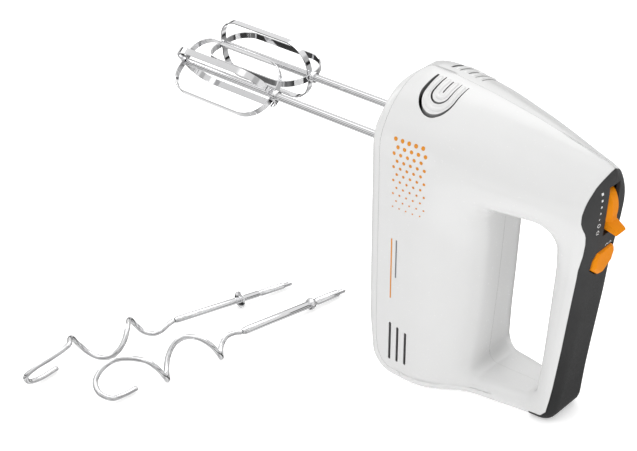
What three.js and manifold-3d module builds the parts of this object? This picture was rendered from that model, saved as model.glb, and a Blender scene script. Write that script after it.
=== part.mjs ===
// Hand mixer standing on its heel, millimetres, +Z up (nose up), -X towards the beaters, +X the back of the handle.
// Origin: centre of the heel's contact face. The -Y half is the left housing shell and the +Y half the right one.
import * as THREE from "three";
import { mergeVertices } from "three/addons/utils/BufferGeometryUtils.js";
import Module from "manifold-3d";

const wasm = await Module();
wasm.setup();

// ---- driving dimensions (mm) ----
const WALL = 2.4; // moulded wall of the housing
const GAP = 0.3; // seam and running clearance
const AXIS_Y = 17.2, AXIS_Z = 143.5; // beater spindle axes, at Y = -AXIS_Y and +AXIS_Y
const MOTOR_X = -41; // vertical motor axis, in the middle plane
const TIP_X = -237, HUB_X = -162; // ends of the beater cages
const CAGE_R = 19.4; // outer radius of a cage
const RIBBON_W = 4.2, RIBBON_T = 0.8; // beater band
const SHAFT_R = 2.3; // beater and hook shafts
const BLADE_L = 39, BLADE_R = 6; // turn of each cage about X, degrees, so that the cages mesh
const PIVOT = [45, 143]; // speed lever pivot in X and Z
const CRANK = [12, 143]; // ejector crank pivot in X and Z
const LEVER_W = 9; // speed lever width
const DEG = Math.PI / 180;

// ---- colours ----
const mat = (color, roughness, metalness = 0) =>
  new THREE.MeshStandardMaterial({ color, roughness, metalness });
const WHITE = mat(0xf1f1ef, 0.25), DARK = mat(0x424346, 0.6), ORANGE = mat(0xe08a10, 0.35);
const CHROME = mat(0xd8d8da, 0.12, 1), STEEL = mat(0xa9abae, 0.35, 1), COPPER = mat(0xb5652b, 0.35, 1);
const BRASS = mat(0xb99a4e, 0.35, 1), NYLON = mat(0xe6dfc8, 0.5), BLACKP = mat(0x1d1e20, 0.5);
const IRON = mat(0x5e6064, 0.5, 0.8), GREEN = mat(0x1f5a3a, 0.5), CARBON = mat(0x2b2b2d, 0.7), BRONZE = mat(0x9a7440, 0.45, 1);

// ---- solids ----
const solid = (geo) => {
  const g = geo.clone();
  for (const a of Object.keys(g.attributes)) if (a !== "position") g.deleteAttribute(a);
  const m = mergeVertices(g, 1e-4);
  return new wasm.Manifold(
    new wasm.Mesh({ numProp: 3, vertProperties: new Float32Array(m.attributes.position.array), triVerts: new Uint32Array(m.index.array) }),
  );
};
const toGeo = (s) => {
  const m = s.getMesh(), n = m.numProp, v = new Float32Array(m.numVert * 3);
  for (let i = 0; i < m.numVert; i++) for (let k = 0; k < 3; k++) v[i * 3 + k] = m.vertProperties[i * n + k];
  const g = new THREE.BufferGeometry().setAttribute("position", new THREE.BufferAttribute(v, 3)).setIndex(new THREE.BufferAttribute(new Uint32Array(m.triVerts), 1));
  g.computeVertexNormals();
  return g;
};
const fuse = (...s) => s.reduce((a, b) => a.add(b));
const cut = (a, ...s) => s.reduce((x, b) => x.subtract(b), a);

const boxG = (x0, x1, y0, y1, z0, z1) =>
  new THREE.BoxGeometry(x1 - x0, y1 - y0, z1 - z0).translate((x0 + x1) / 2, (y0 + y1) / 2, (z0 + z1) / 2);
const box = (...a) => solid(boxG(...a));
const shapeOf = (pts, holes = []) => {
  const s = new THREE.Shape(pts.map(([a, b]) => new THREE.Vector2(a, b)));
  for (const h of holes) s.holes.push(new THREE.Path(h.map(([a, b]) => new THREE.Vector2(a, b))));
  return s;
};
const EX = (d) => ({ depth: d, bevelEnabled: false, curveSegments: 12 });
const basis = (ax, ay, az) => new THREE.Matrix4().makeBasis(new THREE.Vector3(...ax), new THREE.Vector3(...ay), new THREE.Vector3(...az));
// outline in (x, z) swept along Y, outline in (y, z) swept along X, outline in (x, y) swept along Z
const prismY = (pts, y0, y1, holes) =>
  solid(new THREE.ExtrudeGeometry(shapeOf(pts, holes), EX(y1 - y0)).applyMatrix4(basis([1, 0, 0], [0, 0, 1], [0, -1, 0])).translate(0, y1, 0));
const prismX = (pts, x0, x1, holes) =>
  solid(new THREE.ExtrudeGeometry(shapeOf(pts, holes), EX(x1 - x0)).applyMatrix4(basis([0, 1, 0], [0, 0, 1], [1, 0, 0])).translate(x0, 0, 0));
const prismZ = (pts, z0, z1, holes) =>
  solid(new THREE.ExtrudeGeometry(shapeOf(pts, holes), EX(z1 - z0)).translate(0, 0, z0));
const ring2 = (r, n, a = 0, cx = 0, cy = 0) =>
  Array.from({ length: n }, (_, i) => [cx + r * Math.cos(a + (i * 2 * Math.PI) / n), cy + r * Math.sin(a + (i * 2 * Math.PI) / n)]);
// turned piece: profile [radius, along] closed on itself or on the axis, about an axis through c
const turned = (axis, prof, c = [0, 0, 0], seg = 16) => {
  const g = new THREE.LatheGeometry(prof.map(([r, z]) => new THREE.Vector2(r, z)), seg);
  if (axis === "z") g.rotateX(Math.PI / 2);
  if (axis === "x") g.rotateZ(-Math.PI / 2);
  g.translate(...c);
  let s;
  try { s = solid(g); } catch (e) { s = null; }
  if (!s || s.volume() < 0) {
    const m = mergeVertices(new THREE.BufferGeometry().setAttribute("position", g.getAttribute("position")).setIndex(g.index), 1e-4);
    const t = Array.from(m.index.array);
    for (let i = 0; i < t.length; i += 3) [t[i + 1], t[i + 2]] = [t[i + 2], t[i + 1]];
    m.setIndex(t);
    s = solid(m);
  }
  return s;
};
const rod = (axis, r, a, b, c = [0, 0, 0], seg = 16) => turned(axis, [[0, a], [r, a], [r, b], [0, b]], c, seg);
const tubeR = (axis, r0, r1, a, b, c = [0, 0, 0], seg = 16) => turned(axis, [[r0, a], [r1, a], [r1, b], [r0, b], [r0, a]], c, seg);
// round bar along a smooth curve
const bar = (pts, r, steps, seg = 8) => {
  const curve = new THREE.CatmullRomCurve3(pts.map((p) => new THREE.Vector3(...p)), false, "centripetal");
  return new THREE.ExtrudeGeometry(shapeOf(ring2(r, seg)), { steps, bevelEnabled: false, extrudePath: curve });
};

// ---- outlines in the X-Z plane ----
// polygon corners [x, z, radius] rounded into a fine closed line
const rounded = (corners, step = 5) => {
  const out = [], n = corners.length;
  for (let i = 0; i < n; i++) {
    const [px, pz] = corners[(i + n - 1) % n], [x, z, r] = corners[i], [qx, qz] = corners[(i + 1) % n];
    const a = [px - x, pz - z], b = [qx - x, qz - z], la = Math.hypot(...a), lb = Math.hypot(...b);
    a[0] /= la; a[1] /= la; b[0] /= lb; b[1] /= lb;
    const ang = Math.acos(Math.max(-1, Math.min(1, a[0] * b[0] + a[1] * b[1])));
    const t = Math.min(r / Math.tan(ang / 2), la * 0.499, lb * 0.499), rr = t * Math.tan(ang / 2);
    if (!(r > 0) || Math.PI - ang < 1e-3) { out.push([x, z]); continue; }
    const bis = [a[0] + b[0], a[1] + b[1]], lbis = Math.hypot(...bis), h = rr / Math.sin(ang / 2);
    const c = [x + (bis[0] / lbis) * h, z + (bis[1] / lbis) * h];
    const s0 = [x + a[0] * t, z + a[1] * t], s1 = [x + b[0] * t, z + b[1] * t];
    let a0 = Math.atan2(s0[1] - c[1], s0[0] - c[0]), a1 = Math.atan2(s1[1] - c[1], s1[0] - c[0]);
    let da = a1 - a0;
    while (da > Math.PI) da -= 2 * Math.PI;
    while (da < -Math.PI) da += 2 * Math.PI;
    const k = Math.max(2, Math.ceil(Math.abs(da) / (step * DEG)));
    for (let j = 0; j <= k; j++) out.push([c[0] + rr * Math.cos(a0 + (da * j) / k), c[1] + rr * Math.sin(a0 + (da * j) / k)]);
  }
  return out;
};
const OUTLINE = rounded([
  [-68.6, 0, 17], [46.4, 0, 10], [49.4, 28, 200], [56.9, 84, 300], [61.9, 132, 120], [63.9, 166.5, 6.5], [56.5, 169.5, 20], [43, 172.4, 120], [14, 179.6, 120], [-16, 185.2, 110], [-44, 188.5, 60], [-66.3, 189.6, 15], [-71.8, 160, 40], [-71.6, 40, 120],
]);
const OPENING = rounded([
  [-9.6, 12.4, 7], [33.0, 13.2, 7], [38.0, 98, 200], [39.4, 127.6, 12], [-3.2, 128.4, 9], [-5.8, 68, 300],
]);
// [outer point, opening point, samples to the next key, edge radii (in plane, lateral), opening radii, share of the walk that aims at the opening]
const KEYS = [
  [[-64, 4], [-8, 14.5], 4, [9, 11], [8, 8], 0],
  [[-25, 0], [-2, 12.6], 4, [7, 9], [6, 8], 0],
  [[22, 0], [22, 13], 5, [6, 6], [6, 7], 0],
  [[45, 2.5], [31, 15], 4, [7, 7], [6, 7], 0],
  [[52, 45], [34, 45], 4, [8, 10], [8, 10], 0],
  [[58.6, 100], [37.8, 100], 4, [9, 12], [8, 10], 0],
  [[62, 136], [38.4, 118], 4, [9, 11], [9, 10], 0.2],
  [[62.6, 160.5], [36.2, 125.6], 5, [8, 8], [10, 11], 0.6],
  [[43, 168], [27, 128], 4, [0, 0], [10, 12], 0.8],
  [[2, 180], [12, 128], 4, [0, 0], [10, 12], 0.9],
  [[-30, 186], [2, 128.2], 4, [0, 0], [10, 12], 1],
  [[-57, 190], [-2.8, 124], 5, [3, 3], [10, 11], 1],
  [[-70.6, 168], [-3.8, 110], 3, [8, 8], [9, 11], 0.5],
  [[-71.5, 140], [-4.4, 96], 4, [8, 8], [9, 11], 0],
  [[-71.4, 40], [-7.4, 40], 4, [8, 8], [9, 11], 0],
];
// height of the arched crown above the flat sides
// how pointed the crown is (0.5 is an ellipse)
const POINT = [[-90, 0.5], [-40, 0.5], [0, 0.56], [30, 0.63], [60, 0.78], [80, 0.8]];
const ARCH = [[-90, 38], [-40, 38], [0, 36.5], [30, 34], [50, 32], [66, 31], [80, 31]];
// half-width of the body: low beside and below the opening, and above it
const LOW = [[-90, 40], [-60, 40], [-42, 40], [-33, 38.8], [-26, 36], [-19, 31.4], [-12, 26.6], [-5, 23.6], [2, 22.2], [10, 20.8], [20, 18.8], [30, 17.6], [45, 17.2], [80, 17.2]];
const HIGH = [[-90, 40], [-45, 40], [-30, 39.4], [-15, 37.4], [0, 34.6], [15, 31.4], [30, 28], [45, 24.2], [58, 20.4], [80, 18.6]];
const curveOf = (tab) => {
  const n = tab.length, d = [], m = [];
  for (let i = 0; i < n - 1; i++) d.push((tab[i + 1][1] - tab[i][1]) / (tab[i + 1][0] - tab[i][0]));
  for (let i = 0; i < n; i++) m.push(i === 0 ? d[0] : i === n - 1 ? d[n - 2] : d[i - 1] * d[i] <= 0 ? 0 : (2 * d[i - 1] * d[i]) / (d[i - 1] + d[i]));
  return (x) => {
    x = Math.max(tab[0][0], Math.min(tab[n - 1][0], x));
    let i = 0;
    while (i < n - 2 && x > tab[i + 1][0]) i++;
    const h = tab[i + 1][0] - tab[i][0], t = (x - tab[i][0]) / h, t2 = t * t, t3 = t2 * t;
    return (2 * t3 - 3 * t2 + 1) * tab[i][1] + (t3 - 2 * t2 + t) * h * m[i] + (-2 * t3 + 3 * t2) * tab[i + 1][1] + (t3 - t2) * h * m[i + 1];
  };
};
const lowW = curveOf(LOW), highW = curveOf(HIGH), archH = curveOf(ARCH), pointed = curveOf(POINT);
const TOP = OUTLINE.filter(([x, z]) => z > 150 && x >= -56 && x <= 63).sort((p, q) => p[0] - q[0]);
const topZ = (x) => {
  const a = TOP[0], b = TOP[TOP.length - 1];
  if (x < a[0]) return a[1] + (x - a[0]) * 0.1;
  if (x > b[0]) return b[1] - (x - b[0]) * 0.25;
  let i = 0;
  while (i < TOP.length - 2 && x > TOP[i + 1][0]) i++;
  const p = TOP[i], q = TOP[i + 1];
  return p[1] + ((q[1] - p[1]) * (x - p[0])) / (q[0] - p[0] || 1);
};
const halfWidth = (x, z, t = 0) => {
  const s = Math.max(0, Math.min(1, (z - 98) / 52)), k = s * s * (3 - 2 * s), w = lowW(x) * (1 - k) + highW(x) * k - t;
  const b = archH(x), q = Math.max(0, Math.min(1, (z - (topZ(x) - b)) / (b - t)));
  return w * Math.pow(Math.max(0, 1 - q * q), pointed(x));
};
// a closed line walked by its length
const walker = (line) => {
  const n = line.length, cum = [0];
  for (let i = 0; i < n; i++) cum.push(cum[i] + Math.hypot(line[(i + 1) % n][0] - line[i][0], line[(i + 1) % n][1] - line[i][1]));
  const L = cum[n];
  const at = (s) => {
    s = ((s % L) + L) % L;
    let i = 0, j = n;
    while (j - i > 1) { const k = (i + j) >> 1; if (cum[k] <= s) i = k; else j = k; }
    const t = (s - cum[i]) / (cum[i + 1] - cum[i] || 1), p = line[i], q = line[(i + 1) % n];
    return [p[0] + (q[0] - p[0]) * t, p[1] + (q[1] - p[1]) * t];
  };
  const nearest = (p) => {
    let best = 1e9, bs = 0;
    for (let k = 0; k < 4000; k++) { const s = (L * k) / 4000, q = at(s), d = Math.hypot(q[0] - p[0], q[1] - p[1]); if (d < best) { best = d; bs = s; } }
    return bs;
  };
  // left-hand normal, averaged over a stretch of the line
  const normal = (s, w) => {
    const a = at(s - w), b = at(s + w), c = at(s - w / 2), d = at(s + w / 2);
    const v = [-(b[1] - a[1]) - (d[1] - c[1]) * 1.5, b[0] - a[0] + (d[0] - c[0]) * 1.5], l = Math.hypot(...v);
    return [v[0] / l, v[1] / l];
  };
  return { L, at, nearest, normal };
};
const wo = walker(OUTLINE), wi = walker(OPENING);
const keyed = KEYS.map((k) => ({ so: wo.nearest(k[0]), si: wi.nearest(k[1]), n: k[2], ro: k[3], ri: k[4], ai: k[5] }));
const SAMPLES = [];
keyed.forEach((k, i) => {
  const q = keyed[(i + 1) % keyed.length];
  const dso = (((q.so - k.so) % wo.L) + wo.L) % wo.L, dsi = (((q.si - k.si) % wi.L) + wi.L) % wi.L;
  for (let j = 0; j < k.n; j++) {
    const t = j / k.n, mix = (a, b) => [a[0] + (b[0] - a[0]) * t, a[1] + (b[1] - a[1]) * t];
    SAMPLES.push({ so: k.so + dso * t, si: k.si + dsi * t, ro: mix(k.ro, q.ro), ri: mix(k.ri, q.ri), ai: k.ai + (q.ai - k.ai) * t });
  }
});
const FINE = { crown: [0, 22, 44, 66, 90], rings: [0, 32, 62, 90], mids: [0.3, 0.56, 0.79], skip: 1 };
const COARSE = { crown: [0, 32, 62, 90], rings: [0, 45, 90], mids: [0.36, 0.7], skip: 2 };
// the body as one closed ring-shaped solid, its skin moved in by t
const bodySolid = (t, { crown, rings, mids, skip }) => {
  const rows = SAMPLES.filter((_, i) => i % skip === 0).map(({ so, si, ro, ri, ai }) => {
    const po = wo.at(so), pi = wi.at(si), no = wo.normal(so, 9), ni0 = wi.normal(si, 6), ni = [-ni0[0], -ni0[1]];
    const v = [pi[0] - po[0], pi[1] - po[1]], L = Math.hypot(...v);
    const d0 = [no[0] * (1 - ai) + (v[0] / L) * ai, no[1] * (1 - ai) + (v[1] / L) * ai], ld = Math.hypot(...d0), dir = [d0[0] / ld, d0[1] / ld];
    const depth = Math.max(ro[0], ai * Math.min(30, L * 0.55));
    const half = [];
    const put = (x, z, share) => half.push([x, z, Math.max(0.6, halfWidth(x, z, t) * (1 - share))]);
    for (const a of crown) {
      const d = t + (depth - t) * (1 - Math.cos(a * DEG)), x = po[0] + dir[0] * d, z = po[1] + dir[1] * d;
      const q = Math.max(0, Math.min(1, 1 - (d - t) / Math.max(ro[0] - t, 1e-6))), wl = Math.max(halfWidth(x, z, t), 1), ry = Math.max(ro[1] - t, 0);
      put(x, z, Math.min(1, ry / Math.max(wl, ro[1], 1e-6)) * (1 - Math.sqrt(1 - q * q)));
    }
    const A = [po[0] + dir[0] * depth, po[1] + dir[1] * depth], B = [pi[0] + ni[0] * ri[0], pi[1] + ni[1] * ri[0]];
    for (const m of mids) put(A[0] + (B[0] - A[0]) * m, A[1] + (B[1] - A[1]) * m, 0);
    for (const a of [...rings].reverse()) {
      const d = t + (ri[0] - t) * (1 - Math.cos(a * DEG)), x = pi[0] + ni[0] * d, z = pi[1] + ni[1] * d;
      put(x, z, ((ri[1] - t) * (1 - Math.sin(a * DEG))) / Math.max(halfWidth(x, z, t), 1));
    }
    return [...half.map(([x, z, y]) => [x, -y, z]), ...half.map(([x, z, y]) => [x, y, z]).reverse()];
  });
  const n = rows.length, m = rows[0].length, v = [], idx = [];
  for (const r of rows) for (const p of r) v.push(...p);
  for (let i = 0; i < n; i++)
    for (let j = 0; j < m; j++) {
      const a = i * m + j, b = ((i + 1) % n) * m + j, c = ((i + 1) % n) * m + ((j + 1) % m), d = i * m + ((j + 1) % m);
      idx.push(a, b, c, a, c, d);
    }
  const make = (ix) => solid(new THREE.BufferGeometry().setAttribute("position", new THREE.BufferAttribute(new Float32Array(v), 3)).setIndex(ix));
  let s = make(idx);
  if (s.volume() < 0) {
    for (let i = 0; i < idx.length; i += 3) [idx[i + 1], idx[i + 2]] = [idx[i + 2], idx[i + 1]];
    s = make(idx);
  }
  return s;
};
const OUTER = bodySolid(0, FINE), INNER = bodySolid(WALL, COARSE), SKIN = OUTER.subtract(INNER);

// ---- seams ----
const PLATE_SEAM = [[-44.8, 8.4], [-53.5, 8.8], [-58, 11.4], [-61, 17], [-62.6, 26], [-63, 40], [-63, 158], [-62.3, 168], [-62, 177], [-62, 184], [-62, 192]];
const PLATE = [[-44.8, -6], ...PLATE_SEAM, [-62, 204], [-95, 204], [-95, -6]];
const GRIP_SEAM = [[31.4, 4.2], [39.4, 4.8], [42.6, 8.4], [44.1, 17], [45.4, 26], [48.8, 54], [51.8, 81], [54.8, 108], [56.9, 118], [58.0, 126], [58.2, 130.5], [57.9, 133], [56.9, 136], [56.3, 139], [56.3, 144], [57.2, 151], [59, 158.7], [61.5, 165.4], [65, 172.6]];
const GRIP = [[31.4, -6], ...GRIP_SEAM, [90, 175], [90, -6]];
const plateIn = PLATE.map(([x, z]) => [x - GAP, z > 100 ? z + GAP : z - GAP]);
const gripIn = GRIP.map(([x, z]) => [x + GAP, z - GAP]);

const group = new THREE.Group();
group.name = "hand_mixer";
const add = (name, s, material) => {
  const mesh = new THREE.Mesh(toGeo(s), material);
  mesh.name = name;
  group.add(mesh);
  return mesh;
};

// ---- housing ----
// heel slots, nose louvres and openings, cut straight through one side wall
const SLOTS = [[-52.7, 14.4, 40.4], [-47.2, 14.7, 38.9], [-41.5, 15, 37.3]];
const slotCut = (s) => SLOTS.map(([x, a, b]) => prismY(rounded([[x - 1.1, a, 1.05], [x + 1.1, a, 1.05], [x + 1.1, b, 1.05], [x - 1.1, b, 1.05]], 45), Math.min(s * 30, s * 48), Math.max(s * 30, s * 48)));
// nose louvres: two nested U-shaped slots and a short middle one on each side of the crown
const LOUVRE_X = [-49.2, -29, -44, -33.6, -38.6];
// drawn in plan: x along X, second value outwards from the middle plane
const LOUVRE = (() => {
  const u = (a0, a1, end, w) => {
    const r = (a1 - a0) / 2, c = (a0 + a1) / 2, o = [], q = [];
    for (let i = 0; i <= 6; i++) {
      const t = (Math.PI * i) / 6;
      o.push([c - (r + w / 2) * Math.cos(t), end - r + (r + w / 2) * Math.sin(t)]);
      q.unshift([c - (r - w / 2) * Math.cos(t), end - r + (r - w / 2) * Math.sin(t)]);
    }
    return [[a0 - w / 2, 6], ...o, [a1 + w / 2, 6], [a1 - w / 2, 6], ...q, [a0 + w / 2, 6]];
  };
  return [u(LOUVRE_X[0], LOUVRE_X[1], 29, 1.8), u(LOUVRE_X[2], LOUVRE_X[3], 22.6, 1.5), [[LOUVRE_X[4] - 0.8, 7], [LOUVRE_X[4] + 0.8, 7], [LOUVRE_X[4] + 0.8, 16.5], [LOUVRE_X[4] - 0.8, 16.5]]];
})();
// swept down and inwards, square to the middle of the louvres
const louvreCut = (s) => LOUVRE.map((p) => {
  const g = new THREE.ExtrudeGeometry(shapeOf(s < 0 ? p.map(([x, y]) => [x, -y]).reverse() : p), EX(46)).translate(0, 0, 158);
  return solid(g);
});
// screw posts: recess from the right side, blind post on the left
const POSTS = [[24, 158], [-15.5, 17], [40.4, 30], [-54, 173]];
const rightPost = ([x, z]) => rod("y", 4.4, 0.3, 40, [x, 0, z], 12).intersect(OUTER);
const leftPost = ([x, z]) => rod("y", 3.3, -40, -0.3, [x, 0, z], 12).intersect(OUTER);
const lowerHole = rod("z", 5.2, -3, 12, [-20, 0, 0], 16); // cord inlet through the heel
// locating tongue of the left half, across the middle of the heel
const tongue = (k) => box(-6 - k, 6 + k, -1.2, 4 + k, -5 - k, 3.6 + k);
// outline of the turbo button, seen from behind
const BTN = [[-9.9, 107], [-4.4, 102.6], [0.2, 102.3], [8.2, 106.4], [10.1, 110.8], [9.8, 114.9], [7, 117.3], [-6.8, 116.8], [-9.4, 113.4]];
const btnAt = (k) => BTN.map(([y, z]) => [y + Math.sign(y) * k, z + Math.sign(z - 111) * k]);
const half = (s) => boxG(-120, 120, s < 0 ? -60 : GAP / 2, s < 0 ? -GAP / 2 : 60, -10, 210);
const shellBase = cut(SKIN, prismY(PLATE, -60, 60), prismY(GRIP, -60, 60), lowerHole);
const leftSide = solid(half(-1)).add(tongue(0));
let left = shellBase.intersect(leftSide);
left = cut(fuse(left, ...POSTS.map(leftPost)), ...slotCut(-1), ...louvreCut(-1), prismX(btnAt(0.5), 50, 80), ...POSTS.map(([x, z]) => rod("y", 1.7, -14, 1, [x, 0, z], 8)));
left = left.intersect(leftSide);
let right = shellBase.intersect(solid(half(1)));
right = cut(fuse(right, ...POSTS.map(rightPost)), ...slotCut(1), ...louvreCut(1), prismX(btnAt(0.5), 50, 80), ...POSTS.map(([x, z]) => rod("y", 1.7, -1, 20, [x, 0, z], 8)), ...POSTS.map(([x, z]) => rod("y", 3.4, 4, 50, [x, 0, z], 12)));
right = cut(right.intersect(solid(half(1))), tongue(GAP));
add("left_housing_shell", left.simplify(0.06), WHITE);
add("right_housing_shell", right.simplify(0.06), WHITE);
POSTS.forEach(([x, z], i) => {
  const s = turned("y", [[0, -12], [1.4, -12], [1.4, 4.3], [2.9, 4.3], [2.9, 6], [2.2, 6.8], [0, 6.8]], [x, 0, z], 8);
  add("housing_screw_" + (i + 1), cut(s, box(x - 2.2, x + 2.2, 5.8, 8, z - 0.4, z + 0.4), box(x - 0.4, x + 0.4, 5.8, 8, z - 2.2, z + 2.2)), STEEL);
});
// beater side cover with the two spindle holes
const holes = [-1, 1].map((s) => rod("x", 5.6, -80, -60, [0, s * AXIS_Y, AXIS_Z], 20));
add("beater_side_cover", cut(SKIN.intersect(prismY(plateIn, -60, 60)), ...holes), WHITE);
// handle grip cover with the lever slot and the button opening
const leverSlot = box(50, 80, -LEVER_W / 2 - 0.6, LEVER_W / 2 + 0.6, 127.3, 157.6);
add("handle_grip_cover", cut(SKIN.intersect(prismY(gripIn, -60, 60)), leverSlot, prismX(btnAt(0.5), 50, 80)), DARK);

// ---- speed lever, turbo button and their seats ----
const [px, pz] = PIVOT;
const polar = (r, a) => [px + r * Math.cos(a * DEG), pz + r * Math.sin(a * DEG)];
const leverOutline = [
  polar(14, -72), polar(14.2, -55), polar(14.6, -48), [59.5, 131.1], [69.1, 129.6], [69.7, 130.5], [68.9, 131.9], [64, 135.3],
  polar(19.6, -16), polar(19.4, -4), polar(19.2, 8), polar(19, 20), polar(18.7, 30), polar(18, 37), polar(15, 41), polar(9, 44),
  ...[60, 90, 120, 150, 180, 210, 240, 270].map((a) => polar(4.6, a)), polar(6, -72),
];
const leverHole = ring2(2.25, 12, 0, px, pz).reverse();
const lever = prismY(leverOutline, -LEVER_W / 2, LEVER_W / 2, [leverHole]);
add("speed_lever", lever, ORANGE);
add("turbo_button", fuse(
  prismX(btnAt(0), 57.6, 60.5),
  prismX(btnAt(-1.2), 60.4, 61.3),
  box(53.7, 57.8, -5, 5, 107.5, 114.5),
), ORANGE);
add("pivot_pin", rod("y", 1.9, -10.9, 10.9, [px, 0, pz], 12), STEEL);
// bracket that carries the pin and the ejector crank's stud
const cheek = [[35.2, 131.6], [50, 131.6], [50.6, 150.5], [35.2, 152.5]];
add("lever_bracket", fuse(
  prismY(cheek, -10.4, -8.2, [ring2(2.2, 12, 0, px, pz).reverse()]),
  prismY(cheek, 8.2, 10.4, [ring2(2.2, 12, 0, px, pz).reverse()]),
  box(34.6, 36.8, -10.4, -5.4, 131.6, 152.5),
  box(34.6, 36.8, 8.2, 10.4, 131.6, 152.5),
  box(34.6, 36.8, -10.4, 10.4, 148.5, 152.5),
), BLACKP);
// ejector rocker beside the lever, its arm reaching towards the crank
add("eject_rocker", cut(
  fuse(rod("y", 4.8, 5.1, 7.7, [px, 0, pz], 16), box(19.2, 43, 5.1, 7.7, 138.6, 141.2), box(40.6, 44.6, 5.1, 7.7, 138.6, 143)),
  rod("y", 2.25, 4, 9, [px, 0, pz], 12),
), STEEL);
const [cx, cz] = CRANK;
add("eject_crank", cut(
  fuse(rod("y", 3.6, 5.1, 7.7, [cx, 0, cz], 16), box(cx, cx + 8.2, 5.1, 7.7, cz - 0.6, cz + 1.6), box(cx - 1.5, cx + 1.5, 5.1, 7.7, cz, cz + 13)),
  rod("y", 1.75, 4, 9, [cx, 0, cz], 12),
), NYLON);
add("crank_stud", fuse(rod("y", 1.45, 4.6, 27.6, [cx, 0, cz], 10), rod("y", 3.2, 8.2, 27.6, [cx, 0, cz], 10)), STEEL);
add("ejector_plate", fuse(
  box(-20, -17, -21, 21, 139.6, 147.4),
  box(-20, -17, 4.6, 8.2, 146, 155.6), box(-20, 9.4, 4.6, 8.2, 152.4, 155.6),
  rod("x", 1.9, -29.9, -18, [0, -AXIS_Y, AXIS_Z], 12), rod("x", 1.9, -29.9, -18, [0, AXIS_Y, AXIS_Z], 12),
), NYLON);

// ---- gearbox frame, bearings, wheels and spindles ----
const FX = [-58.4, -55.9], RX = [-34.6, -32.2];
const plateY = [[-33, 113.4], [33, 113.4], [33, 158], [22, 168.2], [-22, 168.2], [-33, 158]];
const rearY = [[-26, 113.4], [26, 113.4], [27, 150], [22, 168.2], [-22, 168.2], [-27, 150]];
const seats = [-1, 1].map((s) => ring2(7.2, 16, 0, s * AXIS_Y, AXIS_Z).reverse());
add("gearbox_frame", cut(fuse(
  prismX(plateY, ...FX, seats), prismX(rearY, ...RX, seats),
  box(FX[0], RX[1], -26, 26, 113.4, 118.6), box(FX[0], RX[1], -22, 22, 165.6, 168.2),
), rod("z", 8.3, 112, 120, [MOTOR_X, 0, 0], 20), rod("z", 3.6, 164, 170, [MOTOR_X, 0, 0], 16)), IRON);
add("upper_motor_bearing", tubeR("z", 3.3, 8, 113, 119.4, [MOTOR_X, 0, 0], 20), BRONZE);
const toothed = (r, depth, n) => {
  const p = [];
  for (let i = 0; i < n; i++) {
    const a = (i * 2 * Math.PI) / n, s = (2 * Math.PI) / n;
    for (const [f, q] of [[0.12, r - depth], [0.34, r], [0.66, r], [0.88, r - depth]]) p.push([q * Math.cos(a + f * s), q * Math.sin(a + f * s)]);
  }
  return p;
};
for (const [s, side] of [[-1, "left"], [1, "right"]]) {
  const c = [0, s * AXIS_Y, AXIS_Z];
  const teeth = toothed(12.4, 2, 22).map(([a, b]) => [s * AXIS_Y + a, AXIS_Z + b]);
  add(side + "_worm_wheel", prismX(teeth, -45.6, -36.4, [ring2(4.6, 16, 0, s * AXIS_Y, AXIS_Z).reverse()]), NYLON);
  add(side + "_spindle", tubeR("x", 2.75, 4.25, -70.9, -29.4, c, 14), STEEL);
  add(side + "_front_bush", tubeR("x", 4.6, 6.9, -59.6, -54.4, c, 16), BRONZE);
  add(side + "_rear_bush", tubeR("x", 4.6, 6.9, -35.8, -31.4, c, 16), BRONZE);
}

// ---- motor ----
add("armature_shaft", rod("z", 3, 9.6, 169.4, [MOTOR_X, 0, 0], 16), STEEL);
// worm: a turned thread profile on the shaft
const wormProf = [[3.25, 129]];
wormProf.push([3.9, 129]);
for (let z = 131; z < 155; z += 5.6) wormProf.push([3.9, z], [4.5, z + 1.2], [4.5, z + 2.4], [3.9, z + 3.6]);
wormProf.push([3.9, 158], [3.25, 158], [3.25, 129]);
add("worm", turned("z", wormProf, [MOTOR_X, 0, 0], 10), BRASS);
const slotted = [];
for (let i = 0; i < 12; i++) {
  const a = i * 30 * DEG;
  for (const [f, r] of [[-13, 14], [0, 14.1], [13, 14], [13.6, 11], [16.4, 11]]) slotted.push([MOTOR_X + r * Math.cos(a + f * DEG), r * Math.sin(a + f * DEG)]);
}
add("armature_core", prismZ(slotted, 68, 96, [ring2(3.3, 16, 0, MOTOR_X, 0).reverse()]), IRON);
add("armature_winding_upper", turned("z", [[3.4, 96.4], [11.6, 96.4], [12.6, 98], [12, 103], [8, 106], [3.4, 106], [3.4, 96.4]], [MOTOR_X, 0, 0], 16), COPPER);
add("armature_winding_lower", turned("z", [[3.4, 58], [8, 58], [12, 61], [12.6, 65.8], [11.6, 67.6], [3.4, 67.6], [3.4, 58]], [MOTOR_X, 0, 0], 16), COPPER);
add("commutator", turned("z", [[3.3, 44.6], [7, 44.6], [7, 55.6], [8.2, 55.6], [8.2, 57.4], [3.3, 57.4], [3.3, 44.6]], [MOTOR_X, 0, 0], 16), COPPER);
// cooling fan
const fanParts = [tubeR("z", 3.3, 6, 19.4, 34, [MOTOR_X, 0, 0], 16), tubeR("z", 5.6, 23.4, 32.2, 34, [MOTOR_X, 0, 0], 18)];
for (let i = 0; i < 9; i++) fanParts.push(solid(boxG(5, 22.6, -0.6, 0.6, 21.4, 32.8).rotateZ(i * 40 * DEG + 0.1).translate(MOTOR_X, 0, 0)));
add("cooling_fan", fuse(...fanParts), BLACKP);
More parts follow.
